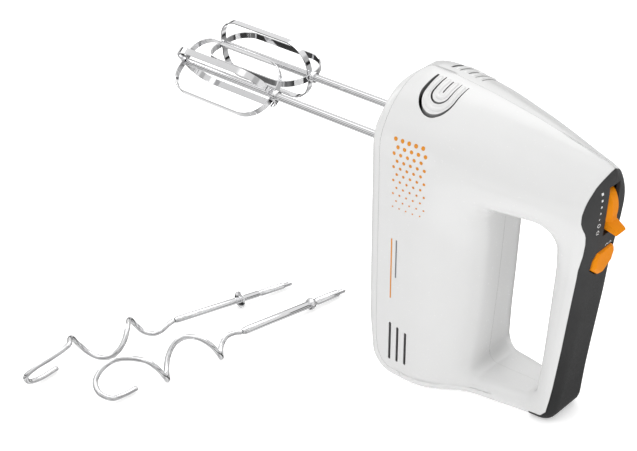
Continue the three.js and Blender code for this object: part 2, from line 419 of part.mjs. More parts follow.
// field laminations with two poles
const yoke = rounded([[MOTOR_X - 21.6, -26, 6], [MOTOR_X + 21.6, -26, 6], [MOTOR_X + 21.6, 26, 6], [MOTOR_X - 21.6, 26, 6]], 30);
const bore = [];
const arcP = (r, a0, a1, k) => { for (let i = 0; i <= k; i++) { const a = (a0 + ((a1 - a0) * i) / k) * DEG; bore.push([MOTOR_X + r * Math.cos(a), r * Math.sin(a)]); } };
arcP(14.8, 28, 152, 8); bore.push([MOTOR_X - 14.6, 9.6], [MOTOR_X - 16.8, 21.6], [MOTOR_X - 16.8, -21.6], [MOTOR_X - 14.6, -9.6]);
arcP(14.8, 208, 332, 8); bore.push([MOTOR_X + 14.6, -9.6], [MOTOR_X + 16.8, -21.6], [MOTOR_X + 16.8, 21.6], [MOTOR_X + 14.6, 9.6]);
const pockets = [];
for (const s of [-1, 1]) for (const t of [-1, 1]) pockets.push(box(MOTOR_X + (t > 0 ? 7.6 : -16), MOTOR_X + (t > 0 ? 16 : -7.6), s > 0 ? 17 : -22.6, s > 0 ? 22.6 : -17, 60, 110));
add("field_stator", cut(prismZ(yoke, 69, 95, [bore.reverse()]), ...pockets), IRON);
for (const [s, side] of [[-1, "left"], [1, "right"]]) {
  const y0 = s > 0 ? 17.5 : -22.1, y1 = s > 0 ? 22.1 : -17.5;
  add("field_coil_" + side, prismY(
    rounded([[MOTOR_X - 15.2, 62.4, 3], [MOTOR_X + 15.2, 62.4, 3], [MOTOR_X + 15.2, 101.6, 3], [MOTOR_X - 15.2, 101.6, 3]], 30), y0, y1,
    [rounded([[MOTOR_X - 8, 68.4, 1], [MOTOR_X + 8, 68.4, 1], [MOTOR_X + 8, 95.6, 1], [MOTOR_X - 8, 95.6, 1]], 45).reverse()]), COPPER);
}
// lower bracket: bearing seat, brush tubes and the stator's four legs
const brk = cut(fuse(
  box(MOTOR_X - 21, MOTOR_X + 21, -22, 22, 40.2, 43), box(MOTOR_X - 21, MOTOR_X - 17.6, -22, 22, 42, 68.6), box(MOTOR_X + 17.6, MOTOR_X + 21, -22, 22, 42, 68.6),
), rod("z", 9.6, 39, 44, [MOTOR_X, 0, 0], 20), box(MOTOR_X - 30, MOTOR_X + 30, -14, 14, 46, 64));
add("brush_bracket", brk, BLACKP);
for (const [s, side] of [[-1, "left"], [1, "right"]]) {
  const y = (a, b) => (s > 0 ? [a, b] : [-b, -a]);
  add("carbon_brush_" + side, box(MOTOR_X - 2.5, MOTOR_X + 2.5, ...y(7.4, 15), 47.5, 53.5), CARBON);
  add("brush_holder_" + side, cut(box(MOTOR_X - 4, MOTOR_X + 4, ...y(9, 20), 43.4, 55), box(MOTOR_X - 2.8, MOTOR_X + 2.8, ...y(8, 18.6), 47.2, 53.8)), BRASS);
}
// heel bearing plate across the bottom of the motor bay
add("heel_bearing_plate", cut(fuse(box(MOTOR_X - 9, MOTOR_X + 9, -30, 30, 12.4, 15.2), rod("z", 9, 9.4, 16.6, [MOTOR_X, 0, 0], 20)), rod("z", 6.3, 8, 20, [MOTOR_X, 0, 0], 16)), BLACKP);
add("lower_motor_bearing", tubeR("z", 3.3, 6, 10, 16.2, [MOTOR_X, 0, 0], 16), BRONZE);

// ---- electrics ----
add("speed_switch_board", box(36.5, 51.5, -14, -12.4, 131, 149), GREEN);
add("turbo_switch", fuse(box(41.4, 50.6, -3.2, 3.2, 102, 120), box(50, 51.6, -1.2, 1.2, 109.8, 112.2)), BLACKP);
add("cord_gland", turned("z", [[2.9, 0.6], [4.8, 0.6], [4.8, 7.6], [6.4, 7.6], [6.4, 9.8], [2.9, 9.8], [2.9, 0.6]], [-20, 0, 0], 16), BLACKP);

// ---- beaters ----
const bandLoop = (inset) => {
  const r = CAGE_R, x0 = TIP_X + inset, x1 = HUB_X - inset, t = RIBBON_T;
  const o = rounded([[x0, -r, 14], [x1, -r, 17], [x1, r, 17], [x0, r, 14]], 18);
  const i = rounded([[x0 + t, -r + t, 13.2], [x1 - t, -r + t, 16.2], [x1 - t, r - t, 16.2], [x0 + t, r - t, 13.2]], 18);
  return prismY(o, -RIBBON_W / 2, RIBBON_W / 2, [i.reverse()]);
};
const turnX = (s, deg) => s.rotate([deg, 0, 0]);
for (const [s, side, blade] of [[-1, "left", BLADE_L], [1, "right", BLADE_R]]) {
  const y = s * AXIS_Y;
  const hub = rod("x", SHAFT_R + 0.3, HUB_X - 12, HUB_X + 3, [0, 0, 0], 12);
  for (const [k, inset] of [["a", 0], ["b", 1.25]])
    add(side + "_beater_loop_" + k, turnX(cut(bandLoop(inset), hub), blade + (k === "a" ? 0 : 90) - 90).translate([0, y, AXIS_Z]), CHROME);
  add(side + "_beater_shaft", turned("x", [[0, TIP_X + 2.5], [SHAFT_R - 0.3, TIP_X + 2.5], [SHAFT_R, TIP_X + 4], [SHAFT_R, -60], [SHAFT_R, -33], [1.5, -31], [0, -30.8]], [0, y, AXIS_Z], 12), CHROME);
  add(side + "_beater_hub", tubeR("x", SHAFT_R + 0.3, 3.5, HUB_X + 0.3, HUB_X + 3.2, [0, y, AXIS_Z], 12), CHROME);
}

// ---- dough hooks, lying on the table beside the beaters ----
// straight shaft from the tip, then a wire that winds about the same line and ends in a J
const HOOKS = {
  a: { tip: [-163.48, -1.89, 2.5], yaw: -102.56, rs: 2.1, R: 8.99, phase: 81.36, pitch: 40.45, hand: 1, from: 89.1, to: 166,
    tail: [[-198.6, -174.6, 19.4], [-202.6, -183, 15.6], [-205.6, -188.4, 10.6], [-206.4, -186.4, 5.6], [-206.6, -178, 2.9], [-207.4, -164.2, 2.4]] },
  b: { tip: [-131.96, 14.06, 2.5], yaw: -97.52, rs: 2.45, R: 9.84, phase: 94.58, pitch: 40.58, hand: -1, from: 85.0, to: 163,
    tail: [[-167.6, -151.6, 20.4], [-171.4, -158.8, 16.4], [-170.4, -166, 11.6], [-164.4, -168.8, 7.4], [-158.8, -164.6, 4], [-157.2, -156, 2.7], [-156.8, -147.4, 2.4]] },
};
for (const [k, h] of Object.entries(HOOKS)) {
  const d = new THREE.Vector3(Math.cos(h.yaw * DEG), Math.sin(h.yaw * DEG), 9.1 / 120).normalize();
  const side = new THREE.Vector3().crossVectors(d, new THREE.Vector3(0, 0, 1)).normalize(), up = new THREE.Vector3().crossVectors(side, d);
  const at = (t, r, a) => new THREE.Vector3(...h.tip).addScaledVector(d, t).addScaledVector(side, r * Math.cos(a)).addScaledVector(up, r * Math.sin(a));
  const place = new THREE.Matrix4().makeBasis(side, up, d.clone().negate());
  if (place.determinant() < 0) place.makeBasis(up, side, d.clone().negate());
  place.setPosition(...h.tip);
  const along = (prof, seg) => turned("z", prof.map(([r, t]) => [r, -t]), [0, 0, 0], seg).transform(place.elements);
  const from = h.from;
  add("hook_" + k + "_shaft", along([[0, from], [1.2, from], [h.rs, from - 2], [h.rs, 7], [1.5, 5.6], [1.5, 0.6], [0.9, 0], [0, 0]], 10), CHROME);
  const pts = [];
  for (let t = from + 1; t <= h.to; t += 4.4) {
    const w = Math.pow(Math.max(0, Math.min(1, (t - from - 1) / 19)), 1.3), p = at(t, h.R * w, h.phase * DEG + (h.hand * 2 * Math.PI * t) / h.pitch);
    pts.push([p.x, p.y, Math.max(p.z, 2.3)]);
  }
  add("hook_" + k + "_wire", solid(bar([...pts, ...h.tail], 1.6, 46, 6)), CHROME);
  add("hook_" + k + (k === "a" ? "_collar" : "_lug"), k === "a" ? along([[2.4, 41], [5, 41], [5.3, 40.3], [5, 39.6], [2.4, 39.6], [2.4, 41]], 14) : along([[2.75, 31], [3.5, 31], [3.9, 29.2], [3.5, 27.4], [2.75, 27.4], [2.75, 31]], 10), CHROME);
}

export default group;
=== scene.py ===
# Hand mixer with two beaters and two dough hooks. Lengths in this file are millimetres until a mesh is written.
import math
import bpy, bmesh
import numpy as np
from mathutils import Vector, Matrix
from mathutils.bvhtree import BVHTree


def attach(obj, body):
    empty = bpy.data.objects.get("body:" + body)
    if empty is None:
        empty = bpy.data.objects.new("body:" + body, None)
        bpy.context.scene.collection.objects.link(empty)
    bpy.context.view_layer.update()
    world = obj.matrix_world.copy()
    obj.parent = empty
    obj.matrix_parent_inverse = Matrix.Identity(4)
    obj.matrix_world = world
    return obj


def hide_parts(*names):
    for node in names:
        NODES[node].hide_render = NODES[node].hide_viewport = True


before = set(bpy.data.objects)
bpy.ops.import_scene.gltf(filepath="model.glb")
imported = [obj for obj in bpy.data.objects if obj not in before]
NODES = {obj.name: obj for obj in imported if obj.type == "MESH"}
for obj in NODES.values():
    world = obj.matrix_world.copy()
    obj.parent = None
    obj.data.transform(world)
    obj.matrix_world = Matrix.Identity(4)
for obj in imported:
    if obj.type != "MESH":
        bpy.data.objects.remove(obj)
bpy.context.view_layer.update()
MM = 0.001
DEG = math.pi / 180

# ------------------------------------------------------------------ camera
CAM = Vector((445.9, -684.2, 587.1)) * MM
AZ, EL = 40.67 * DEG, 30.62 * DEG
cam_data = bpy.data.cameras.new("camera")
cam_data.sensor_width = 36.0
cam_data.lens = 94.97
cam_data.clip_start, cam_data.clip_end = 0.02, 60.0
cam = bpy.data.objects.new("camera", cam_data)
bpy.context.scene.collection.objects.link(cam)
cam.location = CAM
back = Vector((math.sin(AZ) * math.cos(EL), -math.cos(AZ) * math.cos(EL), math.sin(EL)))
cam.rotation_euler = (-back).to_track_quat("-Z", "Y").to_euler()
bpy.context.scene.camera = cam

# ------------------------------------------------------------------ materials
def node_mat(name):
    m = bpy.data.materials.new(name)
    m.use_nodes = True
    nt = m.node_tree
    nt.nodes.clear()
    out = nt.nodes.new("ShaderNodeOutputMaterial")
    p = nt.nodes.new("ShaderNodeBsdfPrincipled")
    nt.links.new(p.outputs[0], out.inputs[0])
    return m, nt, p

def noise(nt, scale, detail=3.0, rough=0.5, vec=None, kind="ShaderNodeTexNoise"):
    n = nt.nodes.new(kind)
    n.inputs["Scale"].default_value = scale
    if "Detail" in n.inputs: n.inputs["Detail"].default_value = detail
    if "Roughness" in n.inputs: n.inputs["Roughness"].default_value = rough
    c = nt.nodes.new("ShaderNodeTexCoord")
    if vec is None:
        nt.links.new(c.outputs["Object"], n.inputs["Vector"])
    else:
        mp = nt.nodes.new("ShaderNodeMapping")
        mp.inputs["Scale"].default_value = vec
        nt.links.new(c.outputs["Object"], mp.inputs["Vector"])
        nt.links.new(mp.outputs[0], n.inputs["Vector"])
    return n

def remap(nt, src, lo, hi, a, b):
    r = nt.nodes.new("ShaderNodeMapRange")
    r.inputs["From Min"].default_value, r.inputs["From Max"].default_value = lo, hi
    r.inputs["To Min"].default_value, r.inputs["To Max"].default_value = a, b
    nt.links.new(src, r.inputs["Value"])
    return r.outputs["Result"]

def colour_mix(nt, fac, a, b):
    m = nt.nodes.new("ShaderNodeMix")
    m.data_type = "RGBA"
    m.inputs[6].default_value = (*a, 1)
    m.inputs[7].default_value = (*b, 1)
    nt.links.new(fac, m.inputs[0])
    return m.outputs[2]

def bump(nt, p, height, strength, dist):
    b = nt.nodes.new("ShaderNodeBump")
    b.inputs["Strength"].default_value = strength
    b.inputs["Distance"].default_value = dist
    nt.links.new(height, b.inputs["Height"])
    nt.links.new(b.outputs[0], p.inputs["Normal"])
    return b

def plastic(name, base, rough, spread=0.04, grain=9000.0, strength=0.05, tone=0.02, coat=0.0, spec=0.5, wave=60.0):
    m, nt, p = node_mat(name)
    big = noise(nt, wave, 2.0)
    lo = tuple(c * (1 - tone) for c in base)
    hi = tuple(min(1.0, c * (1 + tone)) for c in base)
    nt.links.new(colour_mix(nt, remap(nt, big.outputs[0], 0.35, 0.65, 0, 1), lo, hi), p.inputs["Base Color"])
    mid = noise(nt, wave * 14, 4.0)
    nt.links.new(remap(nt, mid.outputs[0], 0.3, 0.7, rough - spread, rough + spread), p.inputs["Roughness"])
    fine = noise(nt, grain, 2.0)
    bump(nt, p, fine.outputs[0], strength, 0.00012)
    p.inputs["Specular IOR Level"].default_value = spec
    if coat:
        p.inputs["Coat Weight"].default_value = coat
        p.inputs["Coat Roughness"].default_value = 0.06
    return m

def metal(name, base, rough, spread=0.03, tone=0.06, scratch=0.04, vec=(1, 1, 1), scale=900.0, aniso=0.0):
    m, nt, p = node_mat(name)
    p.inputs["Metallic"].default_value = 1.0
    big = noise(nt, 120.0, 3.0)
    lo = tuple(c * (1 - tone) for c in base)
    nt.links.new(colour_mix(nt, remap(nt, big.outputs[0], 0.35, 0.65, 0, 1), lo, base), p.inputs["Base Color"])
    sc = noise(nt, scale, 4.0, 0.6, vec)
    nt.links.new(remap(nt, sc.outputs[0], 0.3, 0.7, max(0.02, rough - spread), rough + spread), p.inputs["Roughness"])
    if scratch: bump(nt, p, sc.outputs[0], scratch, 0.00008)
    if aniso: p.inputs["Anisotropic"].default_value = aniso
    return m

def banded(name, base, dark, pitch, axis, metallic, rough, depth=0.6, dist=0.00025):
    """Laid wire or stacked sheets: fine bands across one axis."""
    m, nt, p = node_mat(name)
    w = nt.nodes.new("ShaderNodeTexWave")
    w.wave_type, w.bands_direction = "BANDS", axis
    w.inputs["Scale"].default_value = 1000.0 / pitch / 3.18
    w.inputs["Distortion"].default_value = 0.25
    c = nt.nodes.new("ShaderNodeTexCoord")
    nt.links.new(c.outputs["Object"], w.inputs["Vector"])
    nt.links.new(colour_mix(nt, w.outputs[1], dark, base), p.inputs["Base Color"])
    p.inputs["Metallic"].default_value = metallic
    n = noise(nt, 700.0)
    nt.links.new(remap(nt, n.outputs[0], 0.3, 0.7, rough - 0.06, rough + 0.06), p.inputs["Roughness"])
    bump(nt, p, w.outputs[1], depth, dist)
    return m

WHITE = plastic("white_gloss_plastic", (0.70, 0.70, 0.697), 0.26, 0.015, 3000.0, 0.008, 0.005, 0.22, 0.45)
# painted shade: the inside of the white shell is dark grey so cut walls and louvre gaps read as shaded
SHADE_INNER = plastic("painted_shade_inner_plastic", (0.22, 0.22, 0.22), 0.55, 0.05, 5200.0, 0.1, 0.02)
CHARCOAL = plastic("charcoal_soft_plastic", (0.044, 0.044, 0.0445), 0.56, 0.06, 3800.0, 0.3, 0.06, 0.0, 0.16)
ORANGE = plastic("orange_plastic", (0.77, 0.24, 0.0), 0.42, 0.05, 4200.0, 0.12, 0.03, 0.0, 0.12)
CHROME = metal("chrome_plate", (0.86, 0.86, 0.87), 0.05, 0.008, 0.02, 0.0, (1, 1, 1), 500.0)
STEEL = metal("ground_steel", (0.52, 0.53, 0.55), 0.27, 0.07, 0.1, 0.08, (0.2, 1, 1), 1800.0)
BRASS = metal("brass_turned", (0.66, 0.47, 0.17), 0.25, 0.06, 0.12, 0.08)
BRONZE = metal("sintered_bronze", (0.40, 0.25, 0.11), 0.42, 0.08, 0.2, 0.3, (1, 1, 1), 3200.0)
COPPER = banded("enamelled_wire", (0.62, 0.22, 0.07), (0.26, 0.07, 0.02), 0.55, "Z", 0.85, 0.28)
SHEETS = banded("laminated_iron", (0.22, 0.225, 0.235), (0.10, 0.10, 0.105), 0.6, "Z", 0.9, 0.42)
COMM = banded("commutator_bars", (0.62, 0.27, 0.10), (0.16, 0.07, 0.03), 1.8, "X", 0.95, 0.25)
CAST = metal("die_cast_frame", (0.30, 0.305, 0.315), 0.46, 0.08, 0.15, 0.35, (1, 1, 1), 2400.0)
NYLON = plastic("nylon_gear", (0.74, 0.68, 0.52), 0.42, 0.06, 2600.0, 0.12, 0.03)
BLACK = plastic("black_moulding", (0.02, 0.02, 0.021), 0.48, 0.06, 3000.0, 0.25, 0.15)
BOARD = plastic("circuit_board", (0.02, 0.14, 0.05), 0.35, 0.06, 900.0, 0.1, 0.25)
CARBON = plastic("pressed_carbon", (0.03, 0.03, 0.032), 0.6, 0.08, 2000.0, 0.4, 0.2)
PRINT_W = plastic("printed_white", (0.72, 0.72, 0.72), 0.5, 0.04, 3000.0, 0.06, 0.03)
PRINT_O = plastic("printed_orange", (0.68, 0.25, 0.008), 0.42, 0.04, 3000.0, 0.05, 0.03)
PRINT_G = plastic("printed_grey", (0.16, 0.16, 0.17), 0.42, 0.04, 3000.0, 0.05, 0.03)

def painted_height_shade(m, z0, z1, k0, k1):
    """Base colour scaled with height: painted shade towards the foot and painted light towards the top, standing in for
    how the lamps fall on the moulding.
    """
    nt = m.node_tree; p = next(n for n in nt.nodes if n.type == "BSDF_PRINCIPLED")
    src = p.inputs["Base Color"].links[0].from_socket
    c = nt.nodes.new("ShaderNodeTexCoord"); s = nt.nodes.new("ShaderNodeSeparateXYZ")
    nt.links.new(c.outputs["Object"], s.inputs[0])
    k = remap(nt, s.outputs[2], z0, z1, k0, k1)
    mul = nt.nodes.new("ShaderNodeVectorMath"); mul.operation = "SCALE"
    nt.links.new(src, mul.inputs[0]); nt.links.new(k, mul.inputs["Scale"])
    nt.links.new(mul.outputs[0], p.inputs["Base Color"])
# painted shade and light: the charcoal grip is darkened towards its foot and lightened towards its top
painted_height_shade(CHARCOAL, 0.02, 0.125, 0.62, 1.12)

CAD_MATERIALS = {
    STEEL: ["housing_screw_1", "housing_screw_2", "housing_screw_3", "housing_screw_4", "pivot_pin", "eject_rocker", "crank_stud", "armature_shaft", "left_spindle", "right_spindle"],
    BLACK: ["lever_bracket", "cooling_fan", "brush_bracket", "heel_bearing_plate", "turbo_switch", "cord_gland"],
    NYLON: ["eject_crank", "ejector_plate", "left_worm_wheel", "right_worm_wheel"],
    CAST: ["gearbox_frame"], SHEETS: ["armature_core", "field_stator"],
    BRONZE: ["upper_motor_bearing", "lower_motor_bearing", "left_front_bush", "left_rear_bush", "right_front_bush", "right_rear_bush"],
    BRASS: ["worm", "brush_holder_left", "brush_holder_right"],
    COPPER: ["armature_winding_upper", "armature_winding_lower", "field_coil_left", "field_coil_right"],
    COMM: ["commutator"], BOARD: ["speed_switch_board"], CARBON: ["carbon_brush_left", "carbon_brush_right"],
}
for m, names in CAD_MATERIALS.items():
    for n in names:
        for s in NODES[n].material_slots: s.material = m

# ------------------------------------------------------------------ mesh tools
def obj_from(name, verts, faces, material, smooth=None):
    me = bpy.data.meshes.new(name)
    me.from_pydata([tuple(float(c) * MM for c in v) for v in verts], [], [tuple(int(i) for i in f) for f in faces])
    me.validate()
    o = bpy.data.objects.new(name, me)
    bpy.context.scene.collection.objects.link(o)
    if material is not None: me.materials.append(material)
    if smooth is not None: shade(o, smooth)
    return o

def shade(o, angle):
    me = o.data
    me.polygons.foreach_set("use_smooth", [True] * len(me.polygons))
    me.set_sharp_from_angle(angle=angle * DEG)
    me.update()

def outward(o):
    bm = bmesh.new(); bm.from_mesh(o.data)
    bmesh.ops.recalc_face_normals(bm, faces=bm.faces)
    if bm.calc_volume(signed=True) < 0: bmesh.ops.reverse_faces(bm, faces=bm.faces)
    bm.to_mesh(o.data); bm.free()
    return o

def bake_modifiers(o):
    dg = bpy.context.evaluated_depsgraph_get()
    me = bpy.data.meshes.new_from_object(o.evaluated_get(dg), preserve_all_data_layers=True, depsgraph=dg)
    old = o.data
    o.modifiers.clear()
    o.data = me
    bpy.data.meshes.remove(old)
    return o

def boolean(a, b, op, keep=False):
    m = a.modifiers.new("b", "BOOLEAN")
    m.operation, m.solver, m.object = op, "EXACT", b
    bake_modifiers(a)
    if not keep: bpy.data.objects.remove(b, do_unlink=True)
    return a

def bevelled(o, width, seg=3, angle=30, smooth=35):
    m = o.modifiers.new("v", "BEVEL")
    m.width, m.segments, m.limit_method, m.angle_limit = width * MM, seg, "ANGLE", angle * DEG
    m.use_clamp_overlap = True
    bake_modifiers(o)
    shade(o, smooth)
    return o

def copy(o, name=None):
    c = o.copy(); c.data = o.data.copy()
    if name: c.name = name
    bpy.context.scene.collection.objects.link(c)
    return c

def join(objs, name):
    bm = bmesh.new()
    mats = []
    for o in objs:
        me = o.data
        off = len(bm.faces)
        base = len(mats)
        for mm in me.materials: mats.append(mm)
        t = me.copy(); t.transform(o.matrix_world)
        for p in t.polygons: p.material_index += base
        bm.from_mesh(t); bpy.data.meshes.remove(t)
    me = bpy.data.meshes.new(name)
    bm.to_mesh(me); bm.free()
    for mm in mats: me.materials.append(mm)
    res = bpy.data.objects.new(name, me)
    bpy.context.scene.collection.objects.link(res)
    for o in objs: bpy.data.objects.remove(o, do_unlink=True)
    return res

def prism(axis, pts, a, b, name="p"):
    """Outline (x, z) along Y, (y, z) along X or (x, y) along Z."""
    n = len(pts)
    def at(p, s): return {"y": (p[0], s, p[1]), "x": (s, p[0], p[1]), "z": (p[0], p[1], s)}[axis]
    v = [at(p, a) for p in pts] + [at(p, b) for p in pts]
    f = [tuple(range(n)), tuple(range(2 * n - 1, n - 1, -1))] + [(i, (i + 1) % n, n + (i + 1) % n, n + i) for i in range(n)]
    return outward(obj_from(name, v, f, None))

def boxo(x0, x1, y0, y1, z0, z1): return prism("z", [(x0, y0), (x1, y0), (x1, y1), (x0, y1)], z0, z1)

def frames_along(P, closed=False):
    """Parallel transport frames along a polyline."""
    P = np.asarray(P, float); n = len(P)
    T = np.roll(P, -1, 0) - np.roll(P, 1, 0)
    if not closed: T[0] = P[1] - P[0]; T[-1] = P[-1] - P[-2]
    T /= np.linalg.norm(T, axis=1, keepdims=True)
    u = np.cross(T[0], [0, 0, 1.0])
    if np.linalg.norm(u) < 0.1: u = np.cross(T[0], [0, 1.0, 0])
    U = []
    for i in range(n):
        u = u - T[i] * np.dot(u, T[i]); u = u / np.linalg.norm(u); U.append(u)
    U = np.array(U)
    return T, U, np.cross(T, U)

def tube(name, P, radii, seg, material, cap=True):
    """Round bar along points, with a radius for each point."""
    P = np.asarray(P, float); T, U, V = frames_along(P)
    r = np.broadcast_to(np.asarray(radii, float), (len(P),))
    a = np.arange(seg) * 2 * math.pi / seg
    v = [tuple(p + rr * (math.cos(t) * u + math.sin(t) * w)) for p, u, w, rr in zip(P, U, V, r) for t in a]
    f = [(i * seg + j, i * seg + (j + 1) % seg, (i + 1) * seg + (j + 1) % seg, (i + 1) * seg + j) for i in range(len(P) - 1) for j in range(seg)]
    if cap: f += [tuple(range(seg))[::-1], tuple((len(P) - 1) * seg + j for j in range(seg))]
    return outward(obj_from(name, v, f, material))

def spin(name, base, axis, prof, seg, material, smooth=32):
    """Turned piece: profile (radius, along) from one end to the other about a line through base."""
    base = np.asarray(base, float); axis = np.asarray(axis, float) / np.linalg.norm(axis)
    u = np.cross(axis, [0, 0, 1.0]); 
    if np.linalg.norm(u) < 0.1: u = np.cross(axis, [0, 1.0, 0])
    u /= np.linalg.norm(u); w = np.cross(axis, u)
    a = np.arange(seg) * 2 * math.pi / seg
    v = [tuple(base + axis * t + max(r, 1e-4) * (math.cos(k) * u + math.sin(k) * w)) for r, t in prof for k in a]
    n = len(prof)
    f = [(i * seg + j, i * seg + (j + 1) % seg, (i + 1) * seg + (j + 1) % seg, (i + 1) * seg + j) for i in range(n - 1) for j in range(seg)]
    f += [tuple(range(seg))[::-1], tuple((n - 1) * seg + j for j in range(seg))]
    return outward_shade(obj_from(name, v, f, material), smooth)

def outward_shade(o, s):
    outward(o); shade(o, s); return o

def catmull(P, steps):
    """Centripetal Catmull-Rom curve through the points."""
    P = [np.asarray(p, float) for p in P]; n = len(P)
    out = []
    for i in range(n - 1):
        p1, p2 = P[i], P[i + 1]
        p0 = P[i - 1] if i else p1 * 2 - p2
        p3 = P[i + 2] if i < n - 2 else p2 * 2 - p1
        d = [max(1e-4, np.linalg.norm(b - a) ** 0.5) for a, b in ((p0, p1), (p1, p2), (p2, p3))]
        m1 = ((p1 - p0) / d[0] - (p2 - p0) / (d[0] + d[1]) + (p2 - p1) / d[1]) * d[1]
        m2 = ((p2 - p1) / d[1] - (p3 - p1) / (d[1] + d[2]) + (p3 - p2) / d[2]) * d[1]
        for k in range(steps):
            t = k / steps; t2, t3 = t * t, t * t * t
            out.append((2 * t3 - 3 * t2 + 1) * p1 + (t3 - 2 * t2 + t) * m1 + (-2 * t3 + 3 * t2) * p2 + (t3 - t2) * m2)
    out.append(P[-1])
    return np.array(out)

# ------------------------------------------------------------------ the body surface
def rounded(corners, step=5.0):
    out = []; n = len(corners)
    for i in range(n):
        px, pz = corners[i - 1][:2]; x, z, r = corners[i]; qx, qz = corners[(i + 1) % n][:2]
        a = [px - x, pz - z]; b = [qx - x, qz - z]; la = math.hypot(*a); lb = math.hypot(*b)
        a = [a[0] / la, a[1] / la]; b = [b[0] / lb, b[1] / lb]
        ang = math.acos(max(-1, min(1, a[0] * b[0] + a[1] * b[1])))
        if not r > 0 or math.pi - ang < 1e-3: out.append((x, z)); continue
        t = min(r / math.tan(ang / 2), la * 0.499, lb * 0.499); rr = t * math.tan(ang / 2)
        bis = [a[0] + b[0], a[1] + b[1]]; lb2 = math.hypot(*bis); h = rr / math.sin(ang / 2)
        c = [x + bis[0] / lb2 * h, z + bis[1] / lb2 * h]
        s0 = [x + a[0] * t, z + a[1] * t]; s1 = [x + b[0] * t, z + b[1] * t]
        a0 = math.atan2(s0[1] - c[1], s0[0] - c[0]); a1 = math.atan2(s1[1] - c[1], s1[0] - c[0]); da = a1 - a0
        while da > math.pi: da -= 2 * math.pi
        while da < -math.pi: da += 2 * math.pi
        k = max(2, math.ceil(abs(da) / (step * DEG)))
        for j in range(k + 1): out.append((c[0] + rr * math.cos(a0 + da * j / k), c[1] + rr * math.sin(a0 + da * j / k)))
    return out

def curve_of(tab):
    n = len(tab); d = [(tab[i + 1][1] - tab[i][1]) / (tab[i + 1][0] - tab[i][0]) for i in range(n - 1)]
    m = [d[0] if i == 0 else d[n - 2] if i == n - 1 else (0.0 if d[i - 1] * d[i] <= 0 else 2 * d[i - 1] * d[i] / (d[i - 1] + d[i])) for i in range(n)]
    X = np.array([t[0] for t in tab], float); Y = np.array([t[1] for t in tab], float); M = np.array(m)
    def f(x):
        x = np.clip(np.asarray(x, float), X[0], X[-1]); i = np.clip(np.searchsorted(X, x, side="left") - 1, 0, n - 2)
        h = X[i + 1] - X[i]; t = (x - X[i]) / h; t2 = t * t; t3 = t2 * t
        return (2 * t3 - 3 * t2 + 1) * Y[i] + (t3 - 2 * t2 + t) * h * M[i] + (-2 * t3 + 3 * t2) * Y[i + 1] + (t3 - t2) * h * M[i + 1]
    return f

class Walker:
    def __init__(s, line):
        s.p = np.array(line, float); q = np.roll(s.p, -1, 0)
        s.cum = np.concatenate([[0], np.cumsum(np.hypot(*(q - s.p).T))]); s.L = s.cum[-1]
        s.pp = np.vstack([s.p, s.p[:1]])
    def at(s, t):
        t = np.mod(t, s.L); return np.stack([np.interp(t, s.cum, s.pp[:, 0]), np.interp(t, s.cum, s.pp[:, 1])], -1)
    def nearest(s, p):
        k = np.arange(4000) * s.L / 4000; q = s.at(k); return k[np.argmin(np.hypot(q[:, 0] - p[0], q[:, 1] - p[1]))]
    def normal(s, t, w):
        a = s.at(t - w); b = s.at(t + w); c = s.at(t - w / 2); d = s.at(t + w / 2)
        v = np.stack([-(b[..., 1] - a[..., 1]) - (d[..., 1] - c[..., 1]) * 1.5, (b[..., 0] - a[..., 0]) + (d[..., 0] - c[..., 0]) * 1.5], -1)
        return v / np.linalg.norm(v, axis=-1, keepdims=True)

OUTLINE = [ [-68.6, 0, 17], [46.4, 0, 10], [49.4, 28, 200], [56.9, 84, 300], [61.9, 132, 120], [63.9, 166.5, 6.5], [56.5, 169.5, 20], [43, 172.4, 120], [14, 179.6, 120], [-16, 185.2, 110], [-44, 188.5, 60], [-66.3, 189.6, 15], [-71.8, 160, 40], [-71.6, 40, 120], ]
OPENING = [ [-9.6, 12.4, 7], [33.0, 13.2, 7], [38.0, 98, 200], [39.4, 127.6, 12], [-3.2, 128.4, 9], [-5.8, 68, 300], ]
KEYS = [ [[-64, 4], [-8, 14.5], 4, [9, 11], [8, 8], 0], [[-25, 0], [-2, 12.6], 4, [7, 9], [6, 8], 0], [[22, 0], [22, 13], 5, [6, 6], [6, 7], 0], [[45, 2.5], [31, 15], 4, [7, 7], [6, 7], 0], [[52, 45], [34, 45], 4, [8, 10], [8, 10], 0], [[58.6, 100], [37.8, 100], 4, [9, 12], [8, 10], 0], [[62, 136], [38.4, 118], 4, [9, 11], [9, 10], 0.2], [[62.6, 160.5], [36.2, 125.6], 5, [8, 8], [10, 11], 0.6], [[43, 168], [27, 128], 4, [0, 0], [10, 12], 0.8], [[2, 180], [12, 128], 4, [0, 0], [10, 12], 0.9], [[-30, 186], [2, 128.2], 4, [0, 0], [10, 12], 1], [[-57, 190], [-2.8, 124], 5, [3, 3], [10, 11], 1], [[-70.6, 168], [-3.8, 110], 3, [8, 8], [9, 11], 0.5], [[-71.5, 140], [-4.4, 96], 4, [8, 8], [9, 11], 0], [[-71.4, 40], [-7.4, 40], 4, [8, 8], [9, 11], 0], ]
POINT = [[-90, 0.5], [-40, 0.5], [0, 0.56], [30, 0.63], [60, 0.78], [80, 0.8]]
ARCH = [[-90, 38], [-40, 38], [0, 36.5], [30, 34], [50, 32], [66, 31], [80, 31]]
LOW = [[-90, 40], [-60, 40], [-42, 40], [-33, 38.8], [-26, 36], [-19, 31.4], [-12, 26.6], [-5, 23.6], [2, 22.2], [10, 20.8], [20, 18.8], [30, 17.6], [45, 17.2], [80, 17.2]]
HIGH = [[-90, 40], [-45, 40], [-30, 39.4], [-15, 37.4], [0, 34.6], [15, 31.4], [30, 28], [45, 24.2], [58, 20.4], [80, 18.6]]
PLATE_SEAM = [[-44.8, 8.4], [-53.5, 8.8], [-58, 11.4], [-61, 17], [-62.6, 26], [-63, 40], [-63, 158], [-62.3, 168], [-62, 177], [-62, 184], [-62, 192]]
